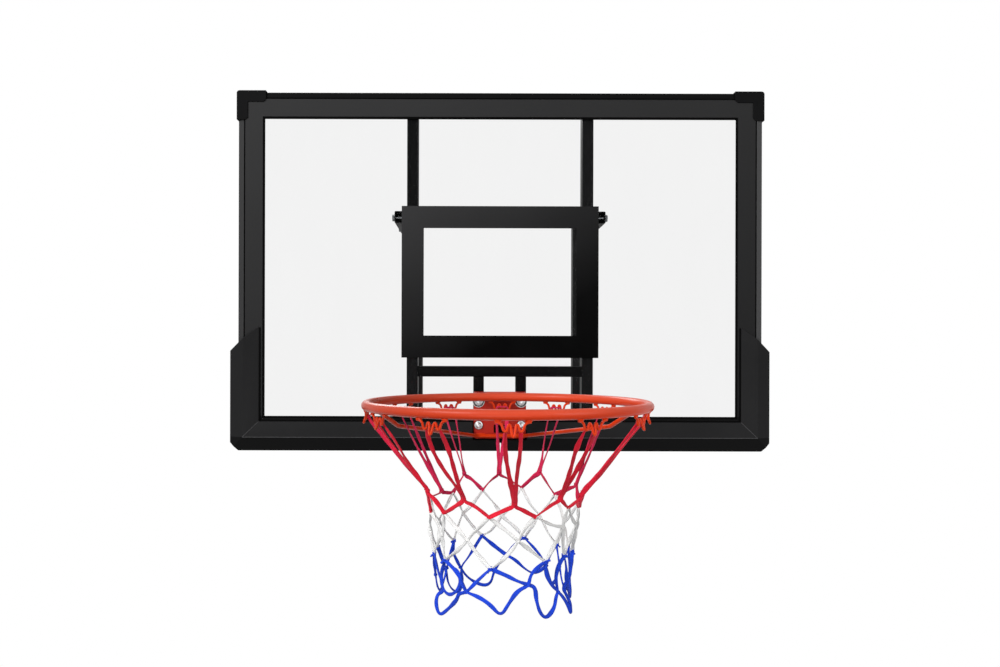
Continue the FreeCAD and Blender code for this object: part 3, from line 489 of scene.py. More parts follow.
def apply_modifier(piece, kind, **settings):
    activate(piece)
    modifier = piece.modifiers.new(kind.lower(), kind)
    for name, value in settings.items():
        setattr(modifier, name, value)
    bpy.ops.object.modifier_apply(modifier=modifier.name)


def smooth(piece, degrees=35):
    activate(piece)
    bpy.ops.object.shade_smooth_by_angle(angle=math.radians(degrees))


def wear(piece, material):
    piece.data.materials.clear()
    piece.data.materials.append(material)


def join(pieces, name):
    deselect()
    for piece in pieces:
        piece.select_set(True)
    bpy.context.view_layer.objects.active = pieces[0]
    bpy.ops.object.join()
    joined = bpy.context.view_layer.objects.active
    joined.name = name
    joined.data.name = name
    return joined


def settle(piece):
    """Put the piece's place into its mesh, with the object at the origin."""
    activate(piece)
    bpy.ops.object.transform_apply(location=True, rotation=True, scale=True)


def fit(piece, material, replaced=(), body="board"):
    """Finish a piece: its material, its body and the CAD pieces it replaces."""
    settle(piece)
    wear(piece, material)
    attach(piece, body)
    if replaced:
        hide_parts(*replaced)


def merged_copy(node):
    """A copy of a CAD piece with its loose triangles joined and its flat faces made whole."""
    piece = nodes[node].copy()
    piece.data = nodes[node].data.copy()
    for key in list(piece.keys()):
        del piece[key]
    piece.parent = None
    scene.collection.objects.link(piece)
    piece.name = f"{node}_dressed"
    piece.data.name = piece.name
    activate(piece)
    if piece.data.has_custom_normals:
        bpy.ops.mesh.customdata_custom_splitnormals_clear()
    edit(piece)
    bpy.ops.mesh.select_all(action="SELECT")
    bpy.ops.mesh.remove_doubles(threshold=MERGE_DISTANCE)
    bpy.ops.mesh.dissolve_limited(angle_limit=FLAT_ANGLE)
    bpy.ops.object.mode_set(mode="OBJECT")
    return piece


def dress(node, material, edge=0.0, segments=2, along=None):
    """A CAD piece with its edges rounded, or only its long runs along one axis, in its place."""
    piece = merged_copy(node)
    if edge and along is None:
        apply_modifier(piece, "BEVEL", width=edge, segments=segments, limit_method="ANGLE",
                       angle_limit=SHARP_ANGLE, use_clamp_overlap=True, miter_outer="MITER_ARC")
    elif edge:
        round_runs(piece, along, edge, segments)
    smooth(piece)
    if edge:
        apply_modifier(piece, "WEIGHTED_NORMAL", mode="FACE_AREA", weight=100, keep_sharp=True)
    fit(piece, material, [node], bodies[node])


def round_runs(piece, along, edge, segments):
    """Round only the long edges that run one way, so that mitred ends still meet."""

    def runs_along(line):
        first, second = (piece.data.vertices[index].co for index in line.vertices)
        run = second - first
        return run.length > LONG_EDGE and abs(run[along]) > 0.99 * run.length

    pick_edges(piece, runs_along)
    bpy.ops.mesh.bevel(offset=edge, segments=segments, affect="EDGES", clamp_overlap=True)
    bpy.ops.object.mode_set(mode="OBJECT")


# Cords and wires


def smooth_line(name, route, resolution):
    """An object with the smooth line that a route's points control."""
    curve = bpy.data.curves.new(name, "CURVE")
    curve.dimensions = "3D"
    curve.resolution_u = resolution
    spline = curve.splines.new("NURBS")
    spline.points.add(len(route) - 1)
    for point, at in zip(spline.points, route):
        point.co = (*at, 1)
    spline.order_u = 3
    spline.use_endpoint_u = True
    return bpy.data.objects.new(name, curve)


def line_points(route, resolution):
    """Points along a route's smooth line."""
    holder = smooth_line("route", route, resolution)
    curve = holder.data
    line = bpy.data.meshes.new_from_object(holder)
    points = [vertex.co.copy() for vertex in line.vertices]
    bpy.data.objects.remove(holder)
    bpy.data.curves.remove(curve)
    bpy.data.meshes.remove(line)
    return points


def wire(name, route, radius, resolution=5):
    """Round bent wire along a route, closed at its ends."""
    made = smooth_line(name, route, resolution)
    made.data.bevel_depth = radius
    made.data.bevel_resolution = 3
    made.data.use_fill_caps = True
    scene.collection.objects.link(made)
    activate(made)
    bpy.ops.object.convert(target="MESH")
    made = bpy.context.object
    close_up(made, WIRE_MERGE_DISTANCE)
    return made


def rounded(share, power):
    """A sine or cosine filled out towards a flat cord's corners."""
    return math.copysign(abs(share) ** power, share)


class CordMesh:
    """Flat cords laid along smooth lines, gathered into one mesh."""

    CORNERS = 12

    # Swells of the width along a cord: share of it, turn per metre and step from cord to cord
    SWELLS = ((0.13, 95, 1.0), (0.09, 230, 1.7))

    # Filling of the flat and thin sides, and the share of the length that a pinch takes
    FLAT_POWER = 0.75
    THIN_POWER = 0.85
    PINCH_SPAN = 0.05

    def __init__(self):
        self.points = []
        self.faces = []
        self.places = []

    def lay(self, route, width, thickness, facing, twist, resolution=9, pinch=0.0):
        """One cord along a route, its flat side turned from where facing points by the twist."""
        line = line_points(route, resolution)
        first = len(self.points)
        runs = [0.0]
        for start, end in zip(line, line[1:]):
            runs.append(runs[-1] + (end - start).length)
        for index, (at, run) in enumerate(zip(line, runs)):
            share = run / runs[-1]
            ahead = (line[min(index + 1, len(line) - 1)] - line[max(index - 1, 0)]).normalized()
            side = ahead.cross(facing(at)).normalized()
            out = side.cross(ahead).normalized()
            turn = twist(share)
            flat = side * math.cos(turn) + out * math.sin(turn)
            thin = out * math.cos(turn) - side * math.sin(turn)
            narrow = 1 - pinch * math.exp(-(((share - 0.5) / self.PINCH_SPAN) ** 2))
            swells = (part * math.sin(rate * run + step * first) for part, rate, step in self.SWELLS)
            narrow *= 1 + sum(swells)
            for corner in range(self.CORNERS):
                angle = 2 * math.pi * corner / self.CORNERS
                across = rounded(math.cos(angle), self.FLAT_POWER) * width / 2 * narrow
                up = rounded(math.sin(angle), self.THIN_POWER) * thickness / 2
                self.points.append(at + flat * across + thin * up)
        self.skin(first, runs)

    def skin(self, first, runs):
        """Faces round a cord and over its ends, with their places across and along it."""
        for ring, (near, far) in enumerate(zip(runs, runs[1:])):
            low = first + ring * self.CORNERS
            high = low + self.CORNERS
            for corner in range(self.CORNERS):
                following = (corner + 1) % self.CORNERS
                self.faces.append((low + corner, low + following, high + following, high + corner))
                left, right = corner / self.CORNERS, (corner + 1) / self.CORNERS
                self.places.append([(left, near), (right, near), (right, far), (left, far)])
        for ring, order in ((0, -1), (len(runs) - 1, 1)):
            base = first + ring * self.CORNERS
            self.faces.append(tuple(range(base, base + self.CORNERS))[::order])
            self.places.append([(0.5, runs[ring])] * self.CORNERS)

    def piece(self, name):
        mesh = bpy.data.meshes.new(name)
        mesh.from_pydata(self.points, [], self.faces)
        layer = mesh.uv_layers.new(name="UVMap")
        layer.data.foreach_set("uv", [value for face in self.places for pair in face for value in pair])
        made = bpy.data.objects.new(name, mesh)
        scene.collection.objects.link(made)
        close_up(made)
        smooth(made, 50)
        return made


# Net and hooks, in degrees from the ring's front and millimetres out and down

# Hooks: turns, one half from foot to prong, along the ring, down and out, and welds
HOOK_TURNS = [0, 30, 60, 90, 128, 154, 180, 206, 232, 270, 300, 330]
HOOK_HALF = [(26, 0, 0), (17, 0, 0), (14, 13.5, 0), (9, 13.5, 0), (7.5, 4, 0), (3.5, 4, 0), (2, 20.5, 5)]
HOOK_DROP = 10
HOOK_WIRE_RADIUS = 2
HOOK_WELD_DROP = 8.4
HOOK_WELD_ALONG = 22
HOOK_WELD_SIZE = (5.5, 3.2, 1.8)

# The two cradles of a hook, and the cord's way from one to the other behind the prong
CRADLE_RADIUS = 232
CRADLE_DROP = 20.3
CRADLE_HALF = 11.2
BEHIND_RADIUS = 228
BEHIND_DROP = 18.3
BEHIND_ALONG = (-7, 0, 7)

# Cords: limits of their width, thickness, in millimetres, and twist, along them and at their ends
RED_WIDTHS, RED_THICKNESS, RED_TWIST = (6.6, 7.8), 2.5, (1.2, 0.85)
WHITE_WIDTHS, WHITE_THICKNESS, WHITE_TWIST = (5.4, 6.4), 2.6, (2.2, 0.4)
BLUE_WIDTHS, BLUE_THICKNESS, BLUE_TWIST = (5.8, 6.8), 2.9, (2.4, 0.3)
LOOSE_END_WIDTH = 4.2

# Red loops: pinch at the hook, gathering above the knot and the legs' way past it
RED_PINCH = 0.6
GATHER_SHARES = (0.14, 0.18)
LEG_HANG = (-2.5, 1.0)
LEG_HALF = 1.6
KNOT_HALF = 1.8
KNOT_RISE = 3.0

# Limits of sag and sideways sway between knots, in millimetres
RED_SAG, RED_SWAY = (-1, 3), (-2, 2)
WHITE_SAG, WHITE_SWAY = (-2, 4), (-4, 4)

# Knots: radius and cord width, in millimetres, and number of turns
RED_LOOP_KNOT = (2.6, 2.8, 1.6)
RED_END_KNOT = (2.0, 2.8, 1.6)
WHITE_KNOT = (1.8, 2.6, 1.2)
BLUE_START_KNOT = (2.8, 3.2, 2.2)
BLUE_MESH_KNOT = (2.2, 3.0, 1.4)
POINTS_PER_TURN = 12

# Places of the knots, with the whole net moved along X
NET_SHIFT = -6
LOOP_KNOTS = [
    (4.8, 143, 143), (35.5, 145, 137), (55.9, 144, 141), (80, 132, 143), (116.1, 143, 143),
    (151.1, 147, 129), (180.9, 146, 135), (206.5, 147, 134), (229.4, 138, 158), (276, 128, 140),
    (304.7, 148, 132), (333.6, 145, 137)]
RED_ENDS = [
    (19.4, 136, 163), (45.1, 139, 154), (62, 134, 158), (104, 134, 168), (135.7, 136, 165),
    (163.8, 137, 158), (193.7, 136, 163), (218.9, 136, 163), (250, 132, 161), (299, 134, 166),
    (315.6, 136, 163), (349, 136, 163)]
WHITE_KNOTS = [
    (8.7, 128, 201), (43.5, 132, 184), (63, 129, 188), (90, 124, 202), (121.2, 126, 209),
    (147.3, 128, 201), (179.2, 126, 208), (211.8, 128, 201), (240, 125, 204), (274, 121, 206),
    (309.8, 128, 201), (332.6, 128, 202)]
BLUE_STARTS = [
    (32.1, 118, 238), (52.6, 119, 235), (80, 115, 238), (104, 115, 242), (125.3, 117, 247),
    (159.2, 117, 244), (196.6, 118, 241), (225.1, 117, 244), (252, 115, 245), (279, 115, 243),
    (306.6, 118, 242), (348.6, 117, 246)]
BLUE_KNOTS = [
    (18.6, 114, 273), (48.2, 114, 291), (60, 114, 285), (95, 113, 284), (118, 113, 282),
    (135.8, 114, 287), (174.8, 114, 276), (218.9, 114, 292), (237, 113, 287), (264, 113, 286),
    (300.5, 113, 294), (328.4, 114, 287)]

# Sway of the legs of each red loop, a third and two thirds of the way down, in millimetres
LEG_SWAY = [
    (-3.5, -2.3, 1.5, 0), (-4.6, 0.3, 2.3, 1.5), (4, 3, 3, 4), (2, 1, -2, 1), (2, -1, -2, 1),
    (0.5, -1, 1, 1), (-1.5, -1, 0.5, 0), (0, 0, 1.5, 1.5), (1, 1.5, 2.5, 2.5), (2, -2, -2, 2),
    (-4, -2, 4, -5), (-8, -7.5, 3, 1.7)]
SWAY_SCALE = 1.25

# Blue cords from a start, over a knot, down round a hem loop, over the next knot and up again
BLUE_ROUTES = [
    [(348.6, 117, 246), (359.2, 116, 254), (10, 115, 266), (18.8, 114, 272), (24.3, 114, 277),
     (25.3, 113, 297), (29, 113, 319), (35.2, 113, 329), (44, 113, 316), (46.2, 113, 297),
     (48.2, 114, 291), (44, 115, 270), (45.3, 117, 249), (52.6, 119, 235)],
    [(32.1, 118, 238), (32.7, 116, 254), (38.8, 114, 275), (48.2, 114, 291), (54.2, 116.1, 302.2),
     (58.3, 121.7, 318.8), (60.3, 123, 329), (61.2, 122.4, 325.1), (61.1, 121.9, 314.1),
     (58.2, 115.9, 298.1), (55.2, 114, 288), (67.4, 114, 280), (74, 115, 258), (80, 115, 238)],
    [(52.6, 119, 235), (58, 117, 252), (60, 115, 272), (62, 114, 284), (72, 112, 304),
     (82, 111, 318), (92, 112, 300), (96, 113, 284), (100, 114, 262), (104, 115, 242)],
    [(80, 115, 238), (84, 114, 258), (95, 113, 284), (100, 112, 306), (107, 112, 318),
     (114, 112, 304), (118, 113, 282), (122, 115, 264), (125.3, 117, 247)],
    [(104, 115, 242), (110, 114, 262), (118, 113, 281), (122, 112, 304), (128, 112, 318),
     (133, 113, 304), (136, 114, 287), (146, 115, 264), (159.2, 117, 244)],
    [(125.3, 117, 247), (132.8, 115, 268), (135.8, 114, 287), (143.3, 113, 300), (150.4, 113, 305),
     (158.2, 113, 298), (166.6, 114, 284), (174.8, 114, 276), (183.7, 115, 263), (190.4, 116, 252),
     (196.6, 118, 241)],
    [(159.2, 117, 244), (168.3, 116, 255), (174.8, 114, 276), (181.6, 114, 290), (186.4, 113, 307),
     (188.4, 113, 324), (194, 112, 330), (203.6, 113, 323), (213.1, 113, 309), (218.9, 114, 292),
     (223.1, 114, 279), (227.7, 116, 261), (225.1, 117, 244)],
    [(196.6, 118, 241), (204, 115, 261), (211.4, 114, 279), (218.9, 114, 292), (217, 113, 315),
     (219.3, 112, 332), (225.6, 112, 334), (234.8, 113, 317), (238, 113, 292), (244, 114, 268),
     (252, 115, 245)],
    [(225.1, 117, 244), (231, 115, 264), (237, 113, 286), (243, 112, 308), (251, 112, 322),
     (260, 112, 306), (264, 113, 286), (272, 114, 262), (279, 115, 243)],
    [(306.6, 118, 242), (312.8, 117, 250), (321.1, 116, 257), (323, 114, 273), (318, 114, 290),
     (308.3, 113, 299), (300.5, 114, 292), (297.5, 114, 277), (301, 116, 260), (306.6, 118, 245)],
    [(279, 115, 243), (290, 115, 262), (299.5, 114, 286), (301, 113, 296), (295.9, 118.9, 301.3),
     (295.8, 121.9, 317.5), (299.7, 119.1, 334.9), (307.7, 112.8, 321.1), (318.3, 113, 302),
     (320.5, 114, 291), (328, 114, 287), (335.7, 114, 271), (343.8, 116, 255), (348.6, 117, 246)],
    [(306.6, 118, 242), (315.1, 117, 250), (321.8, 115, 263), (325.8, 114, 280), (328.4, 114, 287),
     (338.5, 114, 291), (348.2, 113, 302), (356.5, 113, 320), (2.6, 113, 300), (9.4, 114, 280),
     (18.6, 114, 273), (19.5, 116, 257), (24.7, 117, 246), (32.1, 118, 238)],
]


def outward(at):
    """Level direction from the net's axis to a point."""
    return Vector((at.x - RING_CENTRE.x, at.y - RING_CENTRE.y, 0)).normalized()


def ring_point(turn, radius, drop, along=0.0, shift=0.0):
    """A point below the ring: degrees from its front, millimetres out, down and along the ring."""
    angle = math.radians(turn)
    out = Vector((math.sin(angle), -math.cos(angle), 0))
    side = Vector((math.cos(angle), math.sin(angle), 0))
    return RING_CENTRE + (out * radius + side * along + Vector((shift, 0, -drop))) * MM


def net_points(rows):
    return [ring_point(turn, radius, drop, shift=NET_SHIFT) for turn, radius, drop in rows]


def slack(start, end, sag, sway):
    """Two points between knots that let the cord hang."""
    away = end - start
    side = away.cross(outward((start + end) / 2)).normalized()
    return [start + away * 0.3 + side * sway * 0.6 * MM - UP * sag * MM,
            start + away * 0.7 + side * sway * MM - UP * sag * MM]


def waver(rng, turns, ends=0.0):
    """A twist along a cord that wanders from side to side and tightens towards its ends."""
    start = rng.uniform(-0.35, 0.35)
    wander = rng.uniform(-1, 1) * turns
    phase = rng.uniform(0, 2 * math.pi)
    ripple, ripple_rate = 0.5, 11

    def twist(share):
        steady = start + wander * (share - 0.5)
        return steady + ripple * math.sin(phase + ripple_rate * share) + ends * (2 * share - 1) ** 2

    return twist


def seen_face(at):
    """Where a cord's flat face looks: out from the net and a little to the front."""
    return (outward(at) + Vector((0, -0.7, 0))).normalized()


def knot_route(at, radius, turns, height):
    """A cord's turns round a knot, one above the other."""
    first = UP.cross(Vector((0.3, 0.2, 1))).normalized()
    second = UP.cross(first)
    count = int(POINTS_PER_TURN * turns)
    route = []
    for index in range(count + 1):
        angle = 2 * math.pi * index / POINTS_PER_TURN
        lift = (index / count - 0.5) * height
        around = first * math.cos(angle) + second * math.sin(angle)
        route.append(at + around * radius * MM + UP * lift * MM)
    return route


def tie_knots(cords, places, rng, radius, width, turns):
    for at in places:
        size = radius * rng.uniform(0.85, 1.2)
        route = knot_route(at, size, turns, width * 0.8 * turns)
        cords.lay(route, width * MM, width * 0.62 * MM, outward, waver(rng, 0.6), resolution=2)


def loose_ends(cords, places, rng, width):
    """Short cut ends that stand out of the knots."""
    for at in places:
        out = outward(at) * rng.uniform(0.2, 1.0)
        aside = Vector((rng.uniform(-0.8, 0.8), rng.uniform(-0.5, 0.5), rng.uniform(-0.9, 0.4)))
        away = (out + aside).normalized() * rng.uniform(6, 9) * MM
        bend = UP * -rng.uniform(0.5, 2.0) * MM
        cords.lay([at, at + away * 0.5, at + away + bend], width * MM, width * 0.55 * MM,
                  outward, waver(rng, 0.5), resolution=4)


def loop_route(index, rng, loops, reds):
    """One red cord: up from a mesh, round a hook in both its cradles and down to the next mesh."""
    turn = HOOK_TURNS[index]
    knot = loops[index]
    before, after = reds[index - 1], reds[index]
    top = ring_point(turn, CRADLE_RADIUS, CRADLE_DROP)
    side = (ring_point(turn, CRADLE_RADIUS, CRADLE_DROP, along=1) - top).normalized() * MM
    behind = [ring_point(turn, BEHIND_RADIUS, BEHIND_DROP, along=along) for along in BEHIND_ALONG]
    gather = knot.lerp(top, rng.uniform(*GATHER_SHARES))
    out = outward(gather)
    legs = {}
    for sign, sways in ((-1, LEG_SWAY[index][:2]), (1, LEG_SWAY[index][2:])):
        cradle = top + side * sign * CRADLE_HALF
        foot = gather + side * sign * LEG_HALF
        legs[sign] = [cradle]
        for share, sway in zip((1 / 3, 2 / 3), sways):
            hang = out * rng.uniform(*LEG_HANG) * MM
            legs[sign].append(cradle.lerp(foot, share) + side * sway * SWAY_SCALE + hang)
        legs[sign].append(foot)
    rise = UP * KNOT_RISE * MM
    route = [before, *slack(before, knot - side * 2, rng.uniform(*RED_SAG), rng.uniform(*RED_SWAY))]
    route += [knot - side * KNOT_HALF - rise, knot - side * LEG_HALF + rise]
    route += legs[-1][::-1] + behind + legs[1]
    route += [knot + side * LEG_HALF + rise, knot + side * KNOT_HALF - rise]
    return route + [*slack(knot + side * 2, after, rng.uniform(*RED_SAG), rng.uniform(*RED_SWAY)), after]


def make_net():
    """Red loops on the hooks, white meshes, blue meshes and hem loops."""
    rng = random.Random(14)
    loops, reds, whites, blues = map(net_points, (LOOP_KNOTS, RED_ENDS, WHITE_KNOTS, BLUE_STARTS))

    red = CordMesh()
    for index in range(len(loops)):
        red.lay(loop_route(index, rng, loops, reds), rng.uniform(*RED_WIDTHS) * MM, RED_THICKNESS * MM,
                seen_face, waver(rng, *RED_TWIST), pinch=RED_PINCH)
    tie_knots(red, [at + UP * 2 * MM for at in loops], rng, *RED_LOOP_KNOT)
    tie_knots(red, reds, rng, *RED_END_KNOT)

    white = CordMesh()
    for index, start in enumerate(reds):
        for step, hand in ((0, -1), (1, 1)):
            middle = whites[(index + step) % len(whites)]
            end = blues[(index + hand) % len(blues)]
            push = outward(middle) * hand * 1.2 * MM
            route = [start, *slack(start, middle, rng.uniform(*WHITE_SAG), rng.uniform(*WHITE_SWAY)),
                     middle + push,
                     *slack(middle, end, rng.uniform(*WHITE_SAG), rng.uniform(*WHITE_SWAY)), end]
            white.lay(route, rng.uniform(*WHITE_WIDTHS) * MM, WHITE_THICKNESS * MM,
                      seen_face, waver(rng, *WHITE_TWIST))
    tie_knots(white, whites, rng, *WHITE_KNOT)

    blue = CordMesh()
    for rows in BLUE_ROUTES:
        blue.lay(net_points(rows), rng.uniform(*BLUE_WIDTHS) * MM, BLUE_THICKNESS * MM,
                 seen_face, waver(rng, *BLUE_TWIST), resolution=7)
    tie_knots(blue, blues, rng, *BLUE_START_KNOT)
    tie_knots(blue, net_points(BLUE_KNOTS), rng, *BLUE_MESH_KNOT)
    loose_ends(blue, blues, rng, LOOSE_END_WIDTH)

    for colour, cords, finish in (
            ("red", red, braided_cord("red_braid", CORD_RED, 0.62, CORD_RED_REAR_PAINTED_LIGHT)),
            ("white", white, braided_cord("white_braid", CORD_WHITE, 0.8)),
            ("blue", blue, braided_cord("blue_braid", CORD_BLUE, 0.6))):
        fit(cords.piece(f"net_{colour}_cords"), finish, [f"net_{colour}"])


def make_hooks(paint):
    """Twelve wire hooks under the ring, each welded on at both feet."""
    outline = HOOK_HALF + [(-along, drop, out) for along, drop, out in reversed(HOOK_HALF)]
    made = []
    for turn in HOOK_TURNS:
        points = [ring_point(turn, RING_RADIUS + out, HOOK_DROP + drop, along=along)
                  for along, drop, out in outline]
        made.append(wire(f"hook_{turn}", points, HOOK_WIRE_RADIUS * MM))
        for sign in (-1, 1):
            foot = ring_point(turn, RING_RADIUS, HOOK_WELD_DROP, along=sign * HOOK_WELD_ALONG)
            made.append(weld_blob(foot, HOOK_WELD_SIZE, math.radians(turn)))
    piece = join(made, "net_hook_wires")
    smooth(piece, 50)
    fit(piece, paint, ["net_hooks"])


# Rim welds and bolts, in millimetres

# Welds of the plate's tongue on the ring: levels, steps in degrees and radius
TONGUE_WELD_LEVELS = (7.0, -6.0)
TONGUE_WELD_STEPS = [step * 2.3 for step in range(-3, 4)]
TONGUE_WELD_RADIUS = 1.9

# Welds of the brace: its tips, by degrees from the ring's rear, and its feet on the plate
TIP_WELD_TURN = 75
TIP_WELD_LEAN = 35
TIP_WELD_DROP = 9.5
TIP_WELD_SIZE = (6.5, 6.5, 3.6)
FOOT_WELD = (40, -230.5, -242.5)
FOOT_WELD_ARC = [(-9, 0, 3.6), (0, 0, 4.2), (9, 0, 3.6)]
FOOT_WELD_RADIUS = 1.8

# Unevenness of lumps and beads of weld: share of their size, and waves per metre
BLOB_UNEVEN, BLOB_GRAIN = 0.18, 400
BEAD_UNEVEN, BEAD_GRAIN = 0.35, 330

# Bolts: their places on the plate, its front and the rear ends of the nuts
BOLT_COLUMN = 44
BOLT_ROWS = (-171.3, -220.3)
PLATE_FRONT = -229
NUT_END = -186.5
SHANK_END = PLATE_FRONT - NUT_END

# Outlines from the axis outwards: radius and height in front of the plate
HEAD_OUTLINE = [
    (0, 7.6), (2.4, 7.4), (4.4, 6.6), (5.6, 5.2), (6.0, 3.6), (6.0, 2.4), (6.5, 2.1), (8.2, 2.3),
    (8.6, 1.8), (8.6, 1.2), (4, 1.2), (4, SHANK_END), (0, SHANK_END)]
BROAD_WASHER = [
    (4.1, 0), (4.1, 1.2), (8.7, 1.2), (9.4, 0.6), (10.6, 0.6), (11.2, 1.2), (12.2, 1.2),
    (12.4, 0.9), (12.4, 0)]
SMALL_WASHER = [(4.1, 0), (4.1, 1.2), (8.9, 1.2), (9.2, 0.9), (9.2, 0)]
# Black rings in the broad washers' grooves and at the small washers' edges: painted shade
BROAD_SHADE_RING = [(9.1, 0.4), (9.1, 1.3), (9.6, 1.6), (10.3, 1.6), (10.8, 1.3), (10.8, 0.4)]
SMALL_SHADE_RING = [(8.5, 0.6), (8.5, 1.4), (8.9, 1.6), (9.3, 1.2), (9.5, 0.2)]
TURNED_STEPS = 32


def weld_blob(at, size, turn):
    """A lump of weld metal, flattened and uneven."""
    deselect()
    bpy.ops.mesh.primitive_uv_sphere_add(segments=14, ring_count=8, radius=1, location=at)
    blob = bpy.context.object
    blob.scale = [value * MM for value in size]
    blob.rotation_euler.z = turn
    bpy.ops.object.transform_apply(location=True, rotation=True, scale=True)
    for vertex in blob.data.vertices:
        vertex.co += (vertex.co - at) * BLOB_UNEVEN * noise.noise(vertex.co * BLOB_GRAIN)
    return blob


def weld_bead(name, route, radius):
    """A run of weld along a seam, with the ripples of its passes."""
    bead = wire(name, route, radius, resolution=14)
    shifts = [Vector(shift) for shift in ((0, 0, 0), (7, 0, 0), (0, 7, 0))]
    for vertex in bead.data.vertices:
        place = vertex.co * BEAD_GRAIN
        vertex.co += Vector([noise.noise(place + shift) for shift in shifts]) * radius * BEAD_UNEVEN
    return bead


def make_rim_welds(paint):
    """Weld beads where the plate's tongue, the brace and the ring meet."""
    beads = []
    for level in TONGUE_WELD_LEVELS:
        reach = RING_RADIUS + math.sqrt(WELDED_BAR_RADIUS ** 2 - level ** 2) + 0.6
        arc = [ring_point(180 + step, reach, -level) for step in TONGUE_WELD_STEPS]
        beads.append(weld_bead("tongue_weld", arc, TONGUE_WELD_RADIUS * MM))
    for sign in (-1, 1):
        tip = ring_point(180 - sign * TIP_WELD_TURN, RING_RADIUS, TIP_WELD_DROP)
        beads.append(weld_blob(tip, TIP_WELD_SIZE, math.radians(sign * TIP_WELD_LEAN)))
        foot = Vector((sign * FOOT_WELD[0], *FOOT_WELD[1:])) * MM
        arc = [foot + Vector(step) * MM for step in FOOT_WELD_ARC]
        beads.append(weld_bead("foot_weld", arc, FOOT_WELD_RADIUS * MM))
    piece = join(beads, "rim_welds")
    smooth(piece, 60)
    fit(piece, paint)


def turned(name, outline, at, closed):
    """A round piece, turned from an open or closed outline about an axis along Y."""
    deselect()
    bpy.ops.mesh.primitive_circle_add(vertices=len(outline), radius=1)
    piece = bpy.context.object
    piece.name = name
    for vertex, (radius, height) in zip(piece.data.vertices, outline):
        vertex.co = (radius * MM, -height * MM, 0)
    if closed:
        edit(piece)
    else:
        pick_edges(piece, lambda line: set(line.vertices) == {0, len(outline) - 1})
        bpy.ops.mesh.delete(type="EDGE")
    bpy.ops.mesh.select_all(action="SELECT")
    bpy.ops.mesh.spin(steps=TURNED_STEPS, angle=2 * math.pi, center=(0, 0, 0), axis=(0, 1, 0))
    close_up(piece, MERGE_DISTANCE)
    piece.location = at
    settle(piece)
    smooth(piece, 30)
    return piece


def make_rim_bolts(zinc, rubber):
    """Round-headed bolts with broad washers in the upper row and small ones in the lower, each washer
    ringed with black rubber as painted shade in its groove and at its edge.
    """
    heads, washers, shade_rings = [], [], []
    for row, washer, shade_ring in zip(BOLT_ROWS, (BROAD_WASHER, SMALL_WASHER), (BROAD_SHADE_RING, SMALL_SHADE_RING)):
        for sign in (-1, 1):
            at = Vector((sign * BOLT_COLUMN, PLATE_FRONT, row)) * MM
            heads.append(turned("rim_bolt_head", HEAD_OUTLINE, at, closed=False))
            washers.append(turned("rim_bolt_washer", washer, at, closed=True))
            shade_rings.append(turned("rim_bolt_shade_ring", shade_ring, at, closed=True))
    fit(join(heads, "rim_bolt_heads"), zinc, ["rim_bolts"])
    fit(join(washers, "rim_bolt_washers"), zinc, ["rim_washers"])
    fit(join(shade_rings, "rim_bolt_shade_rings"), rubber)


# Guard pads' near-black lips, which stand for painted shadow in the gaps, and their ridges

# Lips against the trim's side, its bottom and the rim plate, in millimetres: outer and inner side,
# lower and upper end, and the front and back of all
LIP_RUNS = [((499.5, 496), (-214, -19)), ((496, 56.5), (-214, -210.6)), ((56.3, 54.4), (-250, -206.8))]
LIP_FRONT = -230.2
LIP_BACK = -227.9


def make_pad_shadow_lips(plastic):
    """Thin near-black lips that close the gaps between each pad, the trim's face and the rim plate, a
    painted shadow in those gaps.
    """
    for side, sign in SIDES:
        bars = []
        for (outer, inner), (low, high) in LIP_RUNS:
            deselect()
            middle = Vector((sign * (outer + inner), LIP_FRONT + LIP_BACK, low + high)) / 2 * MM
            bpy.ops.mesh.primitive_cube_add(size=1, location=middle)
            bar = bpy.context.object
            bar.scale = Vector((outer - inner, LIP_BACK - LIP_FRONT, high - low)) * MM
            settle(bar)
            apply_modifier(bar, "BEVEL", width=LIP_EDGE, segments=2)
            bars.append(bar)
        piece = join(bars, f"pad_shadow_lip_{side}")
        smooth(piece)
        fit(piece, plastic)


def make_pad_ridges(plastic):
    """A fine moulded bead along the lower ridge of each pad and up its corner, four times lighter than
    the pad: a painted highlight.
    """
    for side, sign in SIDES:
        start = Vector((sign * RIDGE_START, PAD_RIDGE_Y, PAD_RIDGE_Z)) * MM
        corner = Vector((sign * PAD_RIDGE_X, PAD_RIDGE_Y, PAD_RIDGE_Z)) * MM
        inner = Vector((sign * PAD_INNER_CORNER[0], *PAD_INNER_CORNER[1:])) * MM
        lines = [wire("ridge_line", [start, start.lerp(corner, 0.5), corner], RIDGE_RADIUS * MM, 2),
                 wire("corner_line", [corner, corner.lerp(inner, 0.5), inner], CORNER_RADIUS * MM, 2)]
        piece = join(lines, f"pad_ridge_{side}")
        smooth(piece, 60)
        fit(piece, plastic)


# CAD pieces with rounded edges and finishes


